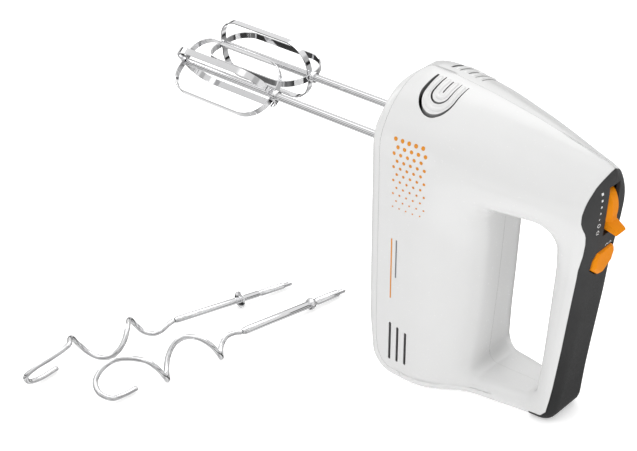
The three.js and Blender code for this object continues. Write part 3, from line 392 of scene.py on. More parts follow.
GRIP_SEAM = [[31.4, 4.2], [39.4, 4.8], [42.6, 8.4], [44.1, 17], [45.4, 26], [48.8, 54], [51.8, 81], [54.8, 108], [56.9, 118], [58.0, 126], [58.2, 130.5], [57.9, 133], [56.9, 136], [56.3, 139], [56.3, 144], [57.2, 151], [59, 158.7], [61.5, 165.4], [65, 172.6]]
WALL = 2.4
LINE = rounded(OUTLINE, 2.5)
WO, WI = Walker(LINE), Walker(rounded(OPENING, 2.5))
LOWF, HIGHF, ARCHF, POINTF = curve_of(LOW), curve_of(HIGH), curve_of(ARCH), curve_of(POINT)
_top = sorted([(x, z) for x, z in LINE if z > 150 and -56 <= x <= 63])
TX = np.array([q[0] for q in _top]); TZ = np.array([q[1] for q in _top])

def top_z(x):
    return np.where(x < TX[0], TZ[0] + (x - TX[0]) * 0.1, np.where(x > TX[-1], TZ[-1] - (x - TX[-1]) * 0.25, np.interp(x, TX, TZ)))

def half_width(x, z, t=0.0):
    s = np.clip((z - 98) / 52, 0, 1); k = s * s * (3 - 2 * s); w = LOWF(x) * (1 - k) + HIGHF(x) * k - t
    b = ARCHF(x); q = np.clip((z - (top_z(x) - b)) / (b - t), 0, 1)
    return w * np.power(np.maximum(0, 1 - q * q), POINTF(x))

def smooth_knots(v, closed_n, passes):
    for _ in range(passes): v = (np.roll(v, 1, 0) + 2 * v + np.roll(v, -1, 0)) / 4
    return v

def body_rows(mult, rings, crown, mids, t=0.0):
    K = [(WO.nearest(k[0]), WI.nearest(k[1]), k[2] * mult, k[3], k[4], k[5]) for k in KEYS]
    so, si, ro, ri, ai = [], [], [], [], []
    for i, k in enumerate(K):
        q = K[(i + 1) % len(K)]; dso = (q[0] - k[0]) % WO.L; dsi = (q[1] - k[1]) % WI.L
        for j in range(k[2]):
            u = j / k[2]; so.append(k[0] + dso * u); si.append(k[1] + dsi * u); ai.append(k[5] * (1 - u) + q[5] * u)
            ro.append([k[3][c] * (1 - u) + q[3][c] * u for c in (0, 1)]); ri.append([k[4][c] * (1 - u) + q[4][c] * u for c in (0, 1)])
    so = np.array(so); si = np.array(si); ro = np.array(ro); ri = np.array(ri); ai = np.array(ai)[:, None]
    ro, ri, ai = (smooth_knots(a, len(so), mult) for a in (ro, ri, ai))
    po = WO.at(so); pi = WI.at(si); no = WO.normal(so, 9); ni = -WI.normal(si, 6)
    v = pi - po; L = np.linalg.norm(v, axis=1, keepdims=True)
    do = no * (1 - ai) + v / L * ai; do /= np.linalg.norm(do, axis=1, keepdims=True)
    dep = np.maximum(ro[:, 0], ai[:, 0] * np.minimum(30, L[:, 0] * 0.55))
    rows = []
    def put(p, dr):
        w = half_width(p[:, 0], p[:, 1], t); rows.append(np.stack([p[:, 0], p[:, 1], np.maximum(0.5, w * (1 - dr))], -1))
    for a in crown:
        d = t + (dep - t) * (1 - math.cos(a * DEG)); p = po + do * d[:, None]
        rx = np.maximum(ro[:, 0] - t, 1e-6); q = np.clip(1 - (d - t) / rx, 0, 1); wl = np.maximum(half_width(p[:, 0], p[:, 1], t), 1)
        put(p, np.minimum(1, np.maximum(ro[:, 1] - t, 0) / np.maximum(wl, ro[:, 1])) * (1 - np.sqrt(1 - q * q)))
    A = po + do * dep[:, None]; B = pi + ni * ri[:, :1]
    for m in mids: put(A + (B - A) * m, 0.0)
    for a in reversed(rings):
        d = t + (ri[:, 0] - t) * (1 - math.cos(a * DEG)); p = pi + ni * d[:, None]; wl = np.maximum(half_width(p[:, 0], p[:, 1], t), 1)
        put(p, (ri[:, 1] - t) * (1 - math.sin(a * DEG)) / wl)
    return np.stack(rows, 1)

def body_mesh(name, rows):
    n, h = rows.shape[:2]; m = 2 * h
    near = np.stack([rows[:, :, 0], -rows[:, :, 2], rows[:, :, 1]], -1)
    far = np.stack([rows[:, :, 0], rows[:, :, 2], rows[:, :, 1]], -1)[:, ::-1]
    v = np.concatenate([near, far], 1).reshape(-1, 3)
    f = [(i * m + j, ((i + 1) % n) * m + j, ((i + 1) % n) * m + (j + 1) % m, i * m + (j + 1) % m) for i in range(n) for j in range(m)]
    return outward(obj_from(name, v, f, None))

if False: FINE = dict(mult=2, rings=(0, 22, 45, 67, 90), crown=(0, 6, 12, 20, 30, 45, 65, 90), mids=(0.25, 0.5, 0.75))
else: FINE = dict(mult=4, rings=(0, 11, 22, 34, 45, 56, 67, 78, 90), crown=(0, 3, 6, 10, 15, 20, 26, 33, 41, 50, 60, 74, 90), mids=(0.16, 0.32, 0.48, 0.64, 0.82))
ROWS = body_rows(**FINE)
OUTER = body_mesh("outer_surface", ROWS)
INNER = body_mesh("inner_surface", body_rows(2, (0, 45, 90), (0, 12, 30, 62, 90), (0.36, 0.7), WALL))
SKIN = copy(OUTER, "skin"); boolean(SKIN, INNER, "DIFFERENCE", keep=True)

# smooth normals of the outer surface, used on every piece cut from it
_me = OUTER.data
_V = np.empty(len(_me.vertices) * 3); _me.vertices.foreach_get("co", _V); _V = _V.reshape(-1, 3)
_VN = np.empty(len(_me.vertices) * 3); _me.vertex_normals.foreach_get("vector", _VN); _VN = _VN.reshape(-1, 3)
_T = []
for p in _me.polygons:
    a = list(p.vertices)
    for k in range(1, len(a) - 1): _T.append((a[0], a[k], a[k + 1]))
SURF = BVHTree.FromPolygons([Vector(v) for v in _V], _T, all_triangles=True)

def surf_normal(co, idx):
    a, b, c = (_V[i] for i in _T[idx]); p = np.array(co)
    v0, v1, v2 = b - a, c - a, p - a
    d00, d01, d11, d20, d21 = v0 @ v0, v0 @ v1, v1 @ v1, v2 @ v0, v2 @ v1
    den = d00 * d11 - d01 * d01
    if abs(den) < 1e-20: return _VN[_T[idx][0]]
    v = (d11 * d20 - d01 * d21) / den; w = (d00 * d21 - d01 * d20) / den
    n = _VN[_T[idx][0]] * (1 - v - w) + _VN[_T[idx][1]] * v + _VN[_T[idx][2]] * w
    return n / np.linalg.norm(n)

def like_surface(o, inner=None):
    """Faces that lie on the outer surface take its smooth normals; all others keep their own. Inside faces can take a
    second material, a darker one that paints shade into cut walls and gaps.
    """
    me = o.data
    me.polygons.foreach_set("use_smooth", [True] * len(me.polygons))
    if inner is not None: me.materials.append(inner)
    normals = [None] * len(me.loops); cache = {}
    for p in me.polygons:
        c = p.center; hit = SURF.find_nearest(c)
        on = hit[0] is not None and hit[3] < 0.00006 and hit[1].dot(p.normal) > 0.5
        # faces deeper than 0.6 mm under the surface get the inner material: painted shade in the cuts
        if not on and inner is not None and hit[3] > 0.0006: p.material_index = len(me.materials) - 1
        for li in p.loop_indices:
            if on:
                vi = me.loops[li].vertex_index
                if vi not in cache:
                    h = SURF.find_nearest(me.vertices[vi].co); cache[vi] = Vector(surf_normal(h[0], h[2]))
                normals[li] = cache[vi]
            else: normals[li] = p.normal.copy()
    me.normals_split_custom_set(normals)
    me.update()
    return o

def onto(x, y, z, d, lift=0.05):
    """Where a line from the point meets the outer surface, in mm, lifted off it."""
    hit = SURF.ray_cast(Vector((x, y, z)) * MM, Vector(d))
    if hit[0] is None: return None
    n = Vector(surf_normal(hit[0], hit[2]))
    p = hit[0] / MM + n * lift
    return np.array(p), np.array(n)

# ------------------------------------------------------------------ housing pieces
PLATE = [(-44.8, -6)] + list(PLATE_SEAM) + [(-62, 204), (-95, 204), (-95, -6)]
GRIP = [(31.4, -6)] + list(GRIP_SEAM) + [(90, 175), (90, -6)]
plate_in = [(x - 0.12, z + 0.12 if z > 100 else z - 0.12) for x, z in PLATE]
grip_in = [(x + 0.15, z - 0.15) for x, z in GRIP]
SEAM = 0.05

shell = copy(SKIN, "shell_base")
boolean(shell, prism("y", PLATE, -60, 60), "DIFFERENCE")
boolean(shell, prism("y", GRIP, -60, 60), "DIFFERENCE")
boolean(shell, prism("z", [(-20 + 5.2 * math.cos(a * 11.25 * DEG), 5.2 * math.sin(a * 11.25 * DEG)) for a in range(32)], -3, 12), "DIFFERENCE")

SLOTS = [(-52.7, 14.4, 40.4), (-47.2, 14.7, 38.9), (-41.5, 15, 37.3)]
def slot_cut(s):
    return [prism("y", rounded([(x - 0.85, a, 0.8), (x + 0.85, a, 0.8), (x + 0.85, b, 0.8), (x - 0.85, b, 0.8)], 15), *sorted((s * 28, s * 50))) for x, a, b in SLOTS]

# nose louvres, drawn in plan: x along X, second value outwards from the middle plane
def u_band(a0, a1, end, w0, w1, wm, start=6.0, n=22):
    """U-shaped slot: leg centres at a0 and a1, its widths w0, w1 and in the middle of the bend wm."""
    r = (a1 - a0) / 2; c = (a0 + a1) / 2; o, q = [], []
    for i in range(n + 1):
        t = math.pi * i / n; k = math.sin(t) ** 2
        w = (w0 * (1 - i / n) + w1 * i / n) * (1 - k) + wm * k
        o.append((c - (r + w / 2) * math.cos(t), end - r + (r + w / 2) * math.sin(t)))
        q.insert(0, (c - (r - w / 2) * math.cos(t), end - r + (r - w / 2) * math.sin(t)))
    return [(a0 - w0 * 0.3, start)] + o + [(a1 + w1 * 0.3, start), (a1 - w1 * 0.3, start)] + q + [(a0 + w0 * 0.3, start)]

def louvre_cut(s):
    out = []
    for p in (u_band(-49.5, -28.9, 29.3, 2.3, 0.8, 1.4), u_band(-44.1, -33.5, 23.0, 1.1, 0.7, 1.0),
              [(-39.0, 7.0), (-38.2, 7.0), (-38.2, 16.2), (-38.6, 16.8), (-39.0, 16.2)]):
        out.append(prism("z", [(x, y * s) for x, y in p], 158, 204))
    return out

POSTS = [(24, 158), (-15.5, 17), (40.4, 30), (-54, 173)]
def ring2(r, n, cx=0.0, cy=0.0): return [(cx + r * math.cos(i * 2 * math.pi / n), cy + r * math.sin(i * 2 * math.pi / n)) for i in range(n)]

BTN = [(-9.9, 107.0), (-4.4, 102.6), (0.2, 102.3), (8.2, 106.4), (10.1, 110.8), (9.8, 114.9), (7.0, 117.3), (-6.8, 116.8), (-9.4, 113.4)]
def btn_at(k): return [(y + math.copysign(k, y), z + math.copysign(k, z - 111)) for y, z in BTN]

def post(x, z, r=4.4, n=28):
    """Screw post of the right half, ending inside the wall."""
    ring = ring2(r, n, x, z)
    V = [(a, SEAM, b) for a, b in ring] + [(a, float(onto(a, 90, b, (0, -1, 0), 0.0)[0][1]) - 0.9, b) for a, b in ring]
    V += [(x, SEAM, z), (x, float(onto(x, 90, z, (0, -1, 0), 0.0)[0][1]) - 0.9, z)]
    F = [(i, (i + 1) % n, n + (i + 1) % n, n + i) for i in range(n)]
    F += [(2 * n, (i + 1) % n, i) for i in range(n)] + [(2 * n + 1, n + i, n + (i + 1) % n) for i in range(n)]
    return outward(obj_from("post", V, F, None))

def make_shell(side, s):
    o = copy(shell, side + "_shell_skin")
    boolean(o, boxo(-120, 120, *((-60, -SEAM) if s < 0 else (SEAM, 60)), -10, 210), "INTERSECT")
    if s > 0:
        for x, z in POSTS: boolean(o, post(x, z), "UNION")
        boolean(o, join([prism("y", ring2(3.4, 28, x, z), 4, 60) for x, z in POSTS], "r1"), "DIFFERENCE")
        boolean(o, join([prism("y", ring2(1.7, 16, x, z), -2, 20) for x, z in POSTS], "r2"), "DIFFERENCE")
    boolean(o, join(slot_cut(s), "s"), "DIFFERENCE")
    boolean(o, join(louvre_cut(s), "l"), "DIFFERENCE")
    boolean(o, prism("x", btn_at(0.5), 50, 80), "DIFFERENCE")
    o.data.materials.clear(); o.data.materials.append(WHITE)
    for p in o.data.polygons: p.material_index = 0
    like_surface(o, SHADE_INNER)
    return o

left_shell = make_shell("left", -1)
right_shell = make_shell("right", 1)

plate = copy(SKIN, "front_cover_skin")
boolean(plate, prism("y", plate_in, -60, 60), "INTERSECT")
boolean(plate, join([prism("x", ring2(5.6, 36, s * 17.2, 143.5), -82, -58) for s in (-1, 1)], "h"), "DIFFERENCE")
plate.data.materials.clear(); plate.data.materials.append(WHITE)
for p in plate.data.polygons: p.material_index = 0
like_surface(plate, SHADE_INNER)

grip = copy(SKIN, "grip_cover_skin")
boolean(grip, prism("y", grip_in, -60, 60), "INTERSECT")
boolean(grip, boxo(50, 80, -5.1, 5.1, 127.3, 157.6), "DIFFERENCE")
boolean(grip, prism("x", btn_at(0.5), 50, 80), "DIFFERENCE")
grip.data.materials.clear(); grip.data.materials.append(CHARCOAL)
for p in grip.data.polygons: p.material_index = 0
like_surface(grip)

for o, node, slot in ((left_shell, "left_housing_shell", "white"), (right_shell, "right_housing_shell", "white"), (plate, "beater_side_cover", "white"), (grip, "handle_grip_cover", "charcoal")):
    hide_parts(node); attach(o, "housing")

# rounded ribs between the nose louvres
def plan_to_surface(pts, s, lift):
    out = []
    for x, y in pts:
        h = onto(x, y * s, 230, (0, 0, -1), 0.0)
        if h is None: continue
        out.append(h[0] + h[1] * lift)
    return out

def u_path(a0, a1, end, start, n=18):
    r = (a1 - a0) / 2; c = (a0 + a1) / 2
    legs0 = [(a0, y) for y in np.linspace(start, end - r, 14)[:-1]]
    legs1 = [(a1, y) for y in np.linspace(end - r, start, 14)[1:]]
    return legs0 + [(c - r * math.cos(math.pi * i / n), end - r + r * math.sin(math.pi * i / n)) for i in range(n + 1)] + legs1

RIBS = []
for s, side in ((-1, "left"), (1, "right")):
    for k, (a0, a1, end, rad, sink) in enumerate(((-46.5, -31.2, 26.2, 1.8, 1.15), (-41.3, -36.0, 19.9, 1.7, 1.1))):
        P = plan_to_surface(u_path(a0, a1, end, 4.6), s, -sink)
        n = len(P); rr = [rad * min(1.0, 0.35 + 0.65 * min(i, n - 1 - i) / 3.0) for i in range(n)]
        o = tube(side + "_louvre_rib_%d" % (k + 1), P, rr, 20, WHITE); shade(o, 60)
        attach(o, "housing"); RIBS.append(o)

# ------------------------------------------------------------------ print on the near side
def decal(name, outline_list, material, d, start, lift=0.05):
    """Flat shapes laid on the outer surface. Each outline is a list of rings of (u, v) points joined ring to ring."""
    V, F = [], []
    for rings, closed_centre in outline_list:
        base = len(V); n = len(rings[0])
        for ring in rings:
            for u, v in ring:
                h = onto(*start(u, v), d, lift)
                V.append(tuple(h[0]) if h is not None else None)
        if any(v is None for v in V[base:]): del V[base:]; continue
        for r in range(len(rings) - 1):
            for j in range(n):
                F.append((base + r * n + j, base + r * n + (j + 1) % n, base + (r + 1) * n + (j + 1) % n, base + (r + 1) * n + j))
        if closed_centre: F.append(tuple(base + (len(rings) - 1) * n + j for j in range(n)))
    o = obj_from(name, V, F, material)
    want = -Vector(d)
    me = o.data
    if sum(p.normal.dot(want) * p.area for p in me.polygons) < 0: me.flip_normals()
    me.polygons.foreach_set("use_smooth", [True] * len(me.polygons))
    return o

def disc(cx, cy, r, n=24, turn=0.0): return ([[(cx + q * r * math.cos(i * 2 * math.pi / n + turn), cy + q * r * math.sin(i * 2 * math.pi / n + turn)) for i in range(n)] for q in (1.0, 0.5)], True)
def annulus(cx, cy, r0, r1, n=36): return ([[(cx + r * math.cos(i * 2 * math.pi / n), cy + r * math.sin(i * 2 * math.pi / n)) for i in range(n)] for r in (r1, r0)], False)
def stroke(pts, widths):
    """Open band along points; returned as quads in the ring format."""
    P = np.asarray(pts, float); n = len(P)
    T = np.gradient(P, axis=0); T /= np.linalg.norm(T, axis=1, keepdims=True); N = np.stack([-T[:, 1], T[:, 0]], -1)
    w = np.broadcast_to(np.asarray(widths, float), (n,))[:, None]
    a = [tuple(p) for p in P + N * w / 2]; b = [tuple(p) for p in P - N * w / 2]
    return a, b

def stroke_decal(name, strokes, material, d, start, lift=0.05):
    V, F = [], []
    for a, b in strokes:
        base = len(V); n = len(a)
        for u, v in a + b:
            h = onto(*start(u, v), d, lift); V.append(tuple(h[0]))
        F += [(base + i, base + i + 1, base + n + i + 1, base + n + i) for i in range(n - 1)]
    o = obj_from(name, V, F, material); me = o.data
    if sum(p.normal.dot(-Vector(d)) * p.area for p in me.polygons) < 0: me.flip_normals()
    me.polygons.foreach_set("use_smooth", [True] * len(me.polygons))
    return o

near = lambda x, z: (x, -90, z)
# plain staggered grid of dots, smaller towards the bottom
dots = []
for row in range(11):
    z = 160.0 - 4.2 * row; r = 1.25 - 0.075 * row
    for col in range(5): dots.append(disc(-53.0 + 4.6 * col + (2.3 if row % 2 else 0.0), z, r, 20))
art = decal("orange_dot_print", dots, PRINT_O, (0, 1, 0), near)
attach(art, "housing")

# two plain straight rules below the dots
long_rule = stroke(np.stack([np.full(24, -53.0), np.linspace(97.0, 57.0, 24)], -1), 0.9)
short_rule = stroke(np.stack([np.full(24, -49.6), np.linspace(97.0, 72.0, 24)], -1), 0.9)
a1 = stroke_decal("orange_rule_print", [long_rule], PRINT_O, (0, 1, 0), near)
a3 = stroke_decal("grey_rule_print", [short_rule], PRINT_G, (0, 1, 0), near)
for o, sl in ((a1, "orange"), (a3, "charcoal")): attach(o, "housing")

# marks on the grip cover beside the lever
side_x = lambda y, z: (120, y, z)
marks = []
for i, z in enumerate(np.linspace(155.0, 140.2, 5)):
    r = 0.72 - 0.08 * i; y = -10.0 - 0.3 * i
    marks.append(([[(y - r * 0.85, z - r), (y + r * 0.85, z - r + 0.25), (y + r * 0.85, z + r + 0.25), (y - r * 0.85, z + r)]], True))
marks.append(annulus(-10.8, 136.4, 0.8, 1.2, 24))
mk = decal("speed_marks", marks, PRINT_W, (-1, 0, 0), side_x)
tri = stroke(np.array([(-11.7, 132.0), (-10.8, 133.4), (-9.9, 132.0)]), 0.45)
bar_ = stroke(np.array([(-11.8, 131.0), (-9.8, 131.0)]), 0.45)
ch1 = stroke(np.array([(0.2, 118.7), (1.5, 119.8), (2.8, 118.7)]), 0.45)
ch2 = stroke(np.array([(3.6, 118.7), (4.9, 119.8), (6.2, 118.7)]), 0.45)
mk2 = stroke_decal("button_marks", [tri, bar_, ch1, ch2], PRINT_W, (-1, 0, 0), side_x)
for o in (mk, mk2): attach(o, "housing")

# ------------------------------------------------------------------ speed lever and button
PX, PZ = 45.0, 143.0
def polar(r, a): return (PX + r * math.cos(a * DEG), PZ + r * math.sin(a * DEG))
lever_line = [polar(14, -72), polar(14.2, -55), polar(14.6, -48), (59.5, 131.1), (69.1, 129.6), (69.7, 130.5), (68.9, 131.9), (64.0, 135.3)]
lever_line += [polar(19.6 - 0.017 * (a + 16), a) for a in np.arange(-16, 30, 3)] + [polar(18.7, 31), polar(18.3, 35), polar(17.4, 38.4), polar(15, 41), polar(9, 44)]
lever_line += [polar(4.6, a) for a in range(60, 271, 15)] + [polar(6, -72)]
def lever_inset(p, k):
    x, z = p; r = math.hypot(x - PX, z - PZ)
    if r < 15 or r > 21: return p
    return (PX + (x - PX) * (1 - k / r), PZ + (z - PZ) * (1 - k / r))
secs = [(-4.5, 2.4), (-2.0, 0.0), (3.7, 0.0), (4.5, 0.8)]
n = len(lever_line)
V = [(q[0], y, q[1]) for y, k in secs for q in (lever_inset(p, k) for p in lever_line)]
F = [tuple(range(n)), tuple((len(secs) - 1) * n + j for j in range(n))[::-1]]
F += [(i * n + j, i * n + (j + 1) % n, (i + 1) * n + (j + 1) % n, (i + 1) * n + j) for i in range(len(secs) - 1) for j in range(n)]
lever = outward(obj_from("speed_lever_moulding", V, F, ORANGE))
boolean(lever, prism("y", ring2(2.25, 24, PX, PZ), -8, 8), "DIFFERENCE")
lever.data.materials.clear(); lever.data.materials.append(ORANGE)
bevelled(lever, 0.4, 3, 24, 22)
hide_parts("speed_lever"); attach(lever, "speed_lever_body")

def btn_in(l, o):
    return [(y + (l if y < 0 else -o), z + (o if z < 111 else -o)) for y, z in BTN]
bs = [(53.7, [(y * 0.4, 111 + (z - 111) * 0.55) for y, z in BTN]), (57.6, [(y * 0.4, 111 + (z - 111) * 0.55) for y, z in BTN]), (57.6, btn_in(0.02, 0.02)), (60.1, btn_in(0.05, 0.05)), (61.2, btn_in(2.1, 1.0)), (61.32, [(y * 0.55, 111 + (z - 111) * 0.5) for y, z in btn_in(2.1, 1.0)])]
n = len(BTN)
V = [(x, y, z) for x, ring in bs for y, z in ring]
F = [tuple(range(n)), tuple((len(bs) - 1) * n + j for j in range(n))[::-1]]
F += [(i * n + j, i * n + (j + 1) % n, (i + 1) * n + (j + 1) % n, (i + 1) * n + j) for i in range(len(bs) - 1) for j in range(n)]
button = outward(obj_from("turbo_button_moulding", V, F, ORANGE))
bevelled(button, 0.3, 3, 22, 18)
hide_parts("turbo_button"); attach(button, "turbo_button_body")

# ------------------------------------------------------------------ beaters
AXIS_Y, AXIS_Z, TIP_X, HUB_X, CAGE_R, BAND_W, BAND_T, SHAFT_R = 17.2, 143.5, -237.0, -162.0, 19.4, 4.2, 0.8, 2.3
def band_loop(name, inset, phi, y0):
    r = CAGE_R - BAND_T / 2; x0 = TIP_X + inset + BAND_T / 2; x1 = HUB_X - inset - BAND_T / 2
    line = rounded([(x0, -r, 13.6), (x1, -r, 16.6), (x1, r, 16.6), (x0, r, 13.6)], 4.0)
    # even out the straight runs
    P = []
    for i in range(len(line)):
        a, b = np.array(line[i]), np.array(line[(i + 1) % len(line)])
        k = max(1, int(np.linalg.norm(b - a) / 2.0))
        for j in range(k): P.append(a + (b - a) * j / k)
    P = np.array(P); T = np.roll(P, -1, 0) - np.roll(P, 1, 0); T /= np.linalg.norm(T, axis=1, keepdims=True)
    N = np.stack([T[:, 1], -T[:, 0]], -1)
    w, t, c = BAND_W / 2, BAND_T / 2, 0.16
    sec = [(-w + c, -t), (w - c, -t), (w, -t + c), (w, t - c), (w - c, t), (-w + c, t), (-w, t - c), (-w, -t + c)]
    ca, sa = math.cos(phi * DEG), math.sin(phi * DEG)
    V = []
    for p, nn in zip(P, N):
        for a, b in sec:
            x, z, y = p[0] + nn[0] * b, p[1] + nn[1] * b, a
            V.append((x, y0 + y * ca - z * sa, AXIS_Z + y * sa + z * ca))
    m = len(P); q = len(sec)
    F = [(i * q + j, i * q + (j + 1) % q, ((i + 1) % m) * q + (j + 1) % q, ((i + 1) % m) * q + j) for i in range(m) for j in range(q)]
    o = outward(obj_from(name, V, F, CHROME)); shade(o, 32)
    return o

for s, side, blade in ((-1, "left", 39.0), (1, "right", 6.0)):
    y0 = s * AXIS_Y; body = side + "_beater"
    for k, inset in (("a", 0.0), ("b", 1.25)):
        o = band_loop("%s_beater_band_%s" % (side, k), inset, blade + (0 if k == "a" else 90) - 90, y0)
        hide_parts("%s_beater_loop_%s" % (side, k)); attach(o, body)
    prof = [(0.0, 2.5), (1.2, 2.5), (1.75, 2.8), (SHAFT_R - 0.1, 3.6), (SHAFT_R, 4.4), (SHAFT_R, 172.0), (SHAFT_R, 176.4), (SHAFT_R - 0.25, 176.6), (SHAFT_R - 0.25, 178.0), (SHAFT_R, 178.2), (SHAFT_R, 203.4), (1.6, 206.0), (0.0, 206.2)]
    o = spin(side + "_beater_rod", (TIP_X, y0, AXIS_Z), (1, 0, 0), prof, 40, CHROME)
    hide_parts(side + "_beater_shaft"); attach(o, body)
    prof = [(2.55, 0.3), (3.2, 0.3), (3.5, 0.6), (3.5, 2.7), (3.2, 3.2), (2.55, 3.2)]
    o = spin(side + "_beater_collar", (HUB_X, y0, AXIS_Z), (1, 0, 0), prof, 40, CHROME)
    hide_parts(side + "_beater_hub"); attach(o, body)

# ------------------------------------------------------------------ dough hooks
HOOKS = { "a": { "tip": [-163.48, -1.89, 2.5], "yaw": -102.56, "rs": 2.1, "R": 8.99, "phase": 81.36, "pitch": 40.45, "hand": 1, "from": 89.1, "to": 166, "tail": [[-198.6, -174.6, 19.4], [-202.6, -183, 15.6], [-205.6, -188.4, 10.6], [-206.4, -186.4, 5.6], [-206.6, -178, 2.9], [-207.4, -164.2, 2.4]] }, "b": { "tip": [-131.96, 14.06, 2.5], "yaw": -97.52, "rs": 2.45, "R": 9.84, "phase": 94.58, "pitch": 40.58, "hand": -1, "from": 85.0, "to": 163, "tail": [[-167.6, -151.6, 20.4], [-171.4, -158.8, 16.4], [-170.4, -166, 11.6], [-164.4, -168.8, 7.4], [-158.8, -164.6, 4], [-157.2, -156, 2.7], [-156.8, -147.4, 2.4]] }, }
for k, h in HOOKS.items():
    d = np.array([math.cos(h["yaw"] * DEG), math.sin(h["yaw"] * DEG), 9.1 / 120]); d /= np.linalg.norm(d)
    side = np.cross(d, [0, 0, 1.0]); side /= np.linalg.norm(side); up = np.cross(side, d)
    tip = np.array(h["tip"]); L = h["from"]
    P = []
    tt = L + 1.0
    while tt <= h["to"]:
        w = max(0.0, min(1.0, (tt - L - 1.0) / 19)) ** 1.3
        a = h["phase"] * DEG + h["hand"] * 2 * math.pi * tt / h["pitch"]
        p = tip + d * tt + h["R"] * w * (math.cos(a) * side + math.sin(a) * up); p[2] = max(p[2], 2.3); P.append(p); tt += 4.4
    P = catmull(P + [np.array(q) for q in h["tail"]], 7)
    e = P[-1]; dirn = (P[-1] - P[-3]); dirn /= np.linalg.norm(dirn)
    rr = [1.6] * len(P); P = list(P)
    for a in (30, 60, 85): P.append(e + dirn * 1.4 * math.sin(a * DEG)); rr.append(1.6 * math.cos(a * DEG))
    o = tube("hook_%s_bent_wire" % k, P, rr, 20, CHROME); shade(o, 50)
    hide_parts("hook_%s_wire" % k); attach(o, "hook_" + k)
    prof = [(0.0, 0.0), (0.85, 0.0), (1.45, 0.7), (1.5, 5.4), (h["rs"] - 0.05, 6.6), (h["rs"], 7.2), (h["rs"], 24.0), (h["rs"] - 0.25, 24.4), (h["rs"] - 0.25, 26.4), (h["rs"], 26.8), (h["rs"], L - 3), (h["rs"] - 0.2, L - 1.2), (1.4, L), (0.0, L)]
    o = spin("hook_%s_rod" % k, tip, d, prof, 36, CHROME)
    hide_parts("hook_%s_shaft" % k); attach(o, "hook_" + k)
    if k == "a":
        prof = [(2.3, 39.6), (4.7, 39.6), (5.3, 39.9), (5.3, 40.7), (4.7, 41.0), (2.3, 41.0)]
        node, nm = "hook_a_collar", "hook_a_disc"
    else:
        prof = [(2.6, 27.4), (3.3, 27.5), (3.7, 28.3), (3.9, 29.2), (3.7, 30.1), (3.3, 30.9), (2.6, 31.0)]
        node, nm = "hook_b_lug", "hook_b_ring"
    o = spin(nm, tip, d, prof, 40, CHROME)
    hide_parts(node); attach(o, "hook_" + k)

for o in (OUTER, INNER, SKIN, shell): bpy.data.objects.remove(o, do_unlink=True)

# ------------------------------------------------------------------ floor and light
m, nt, p = node_mat("studio_floor")
p.inputs["Base Color"].default_value = (0.9, 0.9, 0.9, 1)
p.inputs["Roughness"].default_value = 0.9
p.inputs["Specular IOR Level"].default_value = 0.0
p.inputs["Emission Color"].default_value = (1, 1, 1, 1)
p.inputs["Emission Strength"].default_value = 0.40
floor = obj_from("studio_floor", [(-9000, -9000, 0), (9000, -9000, 0), (9000, 9000, 0), (-9000, 9000, 0)], [(0, 1, 2, 3)], m)
floor.location.z = -0.0002
floor.visible_glossy = False  # polished metal mirrors the banded surround below, as over a light table

def area(name, loc, target, size, power, size_y=None, colour=(1, 1, 1)):
    l = bpy.data.lights.new(name, "AREA"); l.energy = power; l.color = colour
    l.shape = "RECTANGLE"; l.size = size; l.size_y = size_y or size
    o = bpy.data.objects.new(name, l); bpy.context.scene.collection.objects.link(o)
    o.location = loc; o.rotation_euler = (Vector(target) - Vector(loc)).to_track_quat("-Z", "Y").to_euler()
    return o
area("key_top", (-0.25, 0.75, 1.45), (0, 0, 0.1), 1.1, 5.5)
area("fill_near", (-0.40, -1.15, 1.15), (0, 0, 0.1), 0.8, 3.8).visible_glossy = False
area("front_strip", (-1.5, -0.1, 0.8), (0, 0, 0.1), 0.35, 2.8, 1.0)
area("fill_back", (1.6, -0.25, 0.40), (0.03, 0, 0.05), 0.6, 3.9).visible_glossy = False

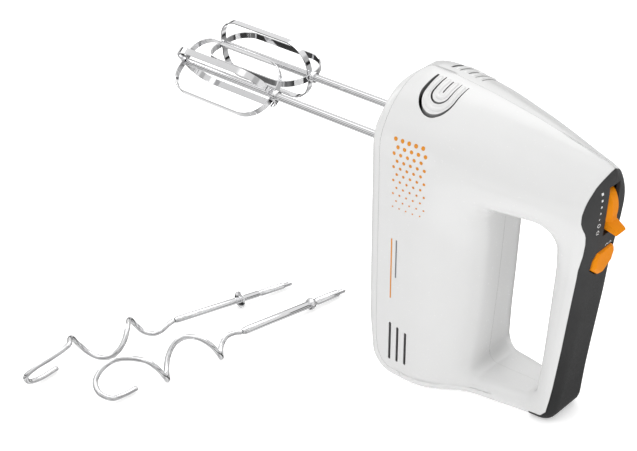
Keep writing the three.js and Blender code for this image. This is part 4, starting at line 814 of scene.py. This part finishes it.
w = bpy.data.worlds.new("studio"); bpy.context.scene.world = w; w.use_nodes = True
nt = w.node_tree; nt.nodes.clear()
bg = nt.nodes.new("ShaderNodeBackground"); ow = nt.nodes.new("ShaderNodeOutputWorld")
bg.inputs[1].default_value = 1.45
tc = nt.nodes.new("ShaderNodeTexCoord"); sp = nt.nodes.new("ShaderNodeSeparateXYZ"); rp = nt.nodes.new("ShaderNodeValToRGB")
nt.links.new(tc.outputs["Generated"], sp.inputs[0])
mr = nt.nodes.new("ShaderNodeMapRange"); mr.inputs["From Min"].default_value = -1.0; mr.inputs["From Max"].default_value = 1.0
nt.links.new(sp.outputs[2], mr.inputs["Value"]); nt.links.new(mr.outputs[0], rp.inputs[0])
cr = rp.color_ramp; cr.elements[0].position = 0.0; cr.elements[0].color = (0.42, 0.42, 0.42, 1); cr.elements[1].position = 1.0; cr.elements[1].color = (1, 1, 1, 1)
for pos, v in ((0.17, 0.64), (0.225, 0.03), (0.27, 0.03), (0.31, 0.62), (0.485, 0.62), (0.51, 0.02), (0.575, 0.02), (0.62, 0.58), (0.865, 0.62), (0.885, 0.95)):
    e = cr.elements.new(pos); e.color = (v, v, v, 1)
wn = nt.nodes.new("ShaderNodeTexNoise"); wn.inputs["Scale"].default_value = 1.9; wn.inputs["Detail"].default_value = 0.5
nt.links.new(tc.outputs["Generated"], wn.inputs["Vector"])
wr = nt.nodes.new("ShaderNodeMapRange"); wr.inputs["From Min"].default_value = 0.40; wr.inputs["From Max"].default_value = 0.50; wr.inputs["To Min"].default_value = 0.55; wr.inputs["To Max"].default_value = 1.0
nt.links.new(wn.outputs[0], wr.inputs["Value"])
wm = nt.nodes.new("ShaderNodeVectorMath"); wm.operation = "SCALE"
nt.links.new(rp.outputs[0], wm.inputs[0]); nt.links.new(wr.outputs[0], wm.inputs["Scale"])
nt.links.new(wm.outputs[0], bg.inputs[0])
# the backdrop itself stays plain; only reflections and light see the bands
plain = nt.nodes.new("ShaderNodeBackground"); plain.inputs[0].default_value = (1, 1, 1, 1); plain.inputs[1].default_value = 1.0
lp = nt.nodes.new("ShaderNodeLightPath"); wx = nt.nodes.new("ShaderNodeMixShader")
nt.links.new(lp.outputs["Is Camera Ray"], wx.inputs[0]); nt.links.new(bg.outputs[0], wx.inputs[1]); nt.links.new(plain.outputs[0], wx.inputs[2])
nt.links.new(wx.outputs[0], ow.inputs[0])
bpy.context.scene.view_settings.view_transform = "Standard"
bpy.context.scene.view_settings.look = "None"
bpy.context.scene.view_settings.exposure = 0.0
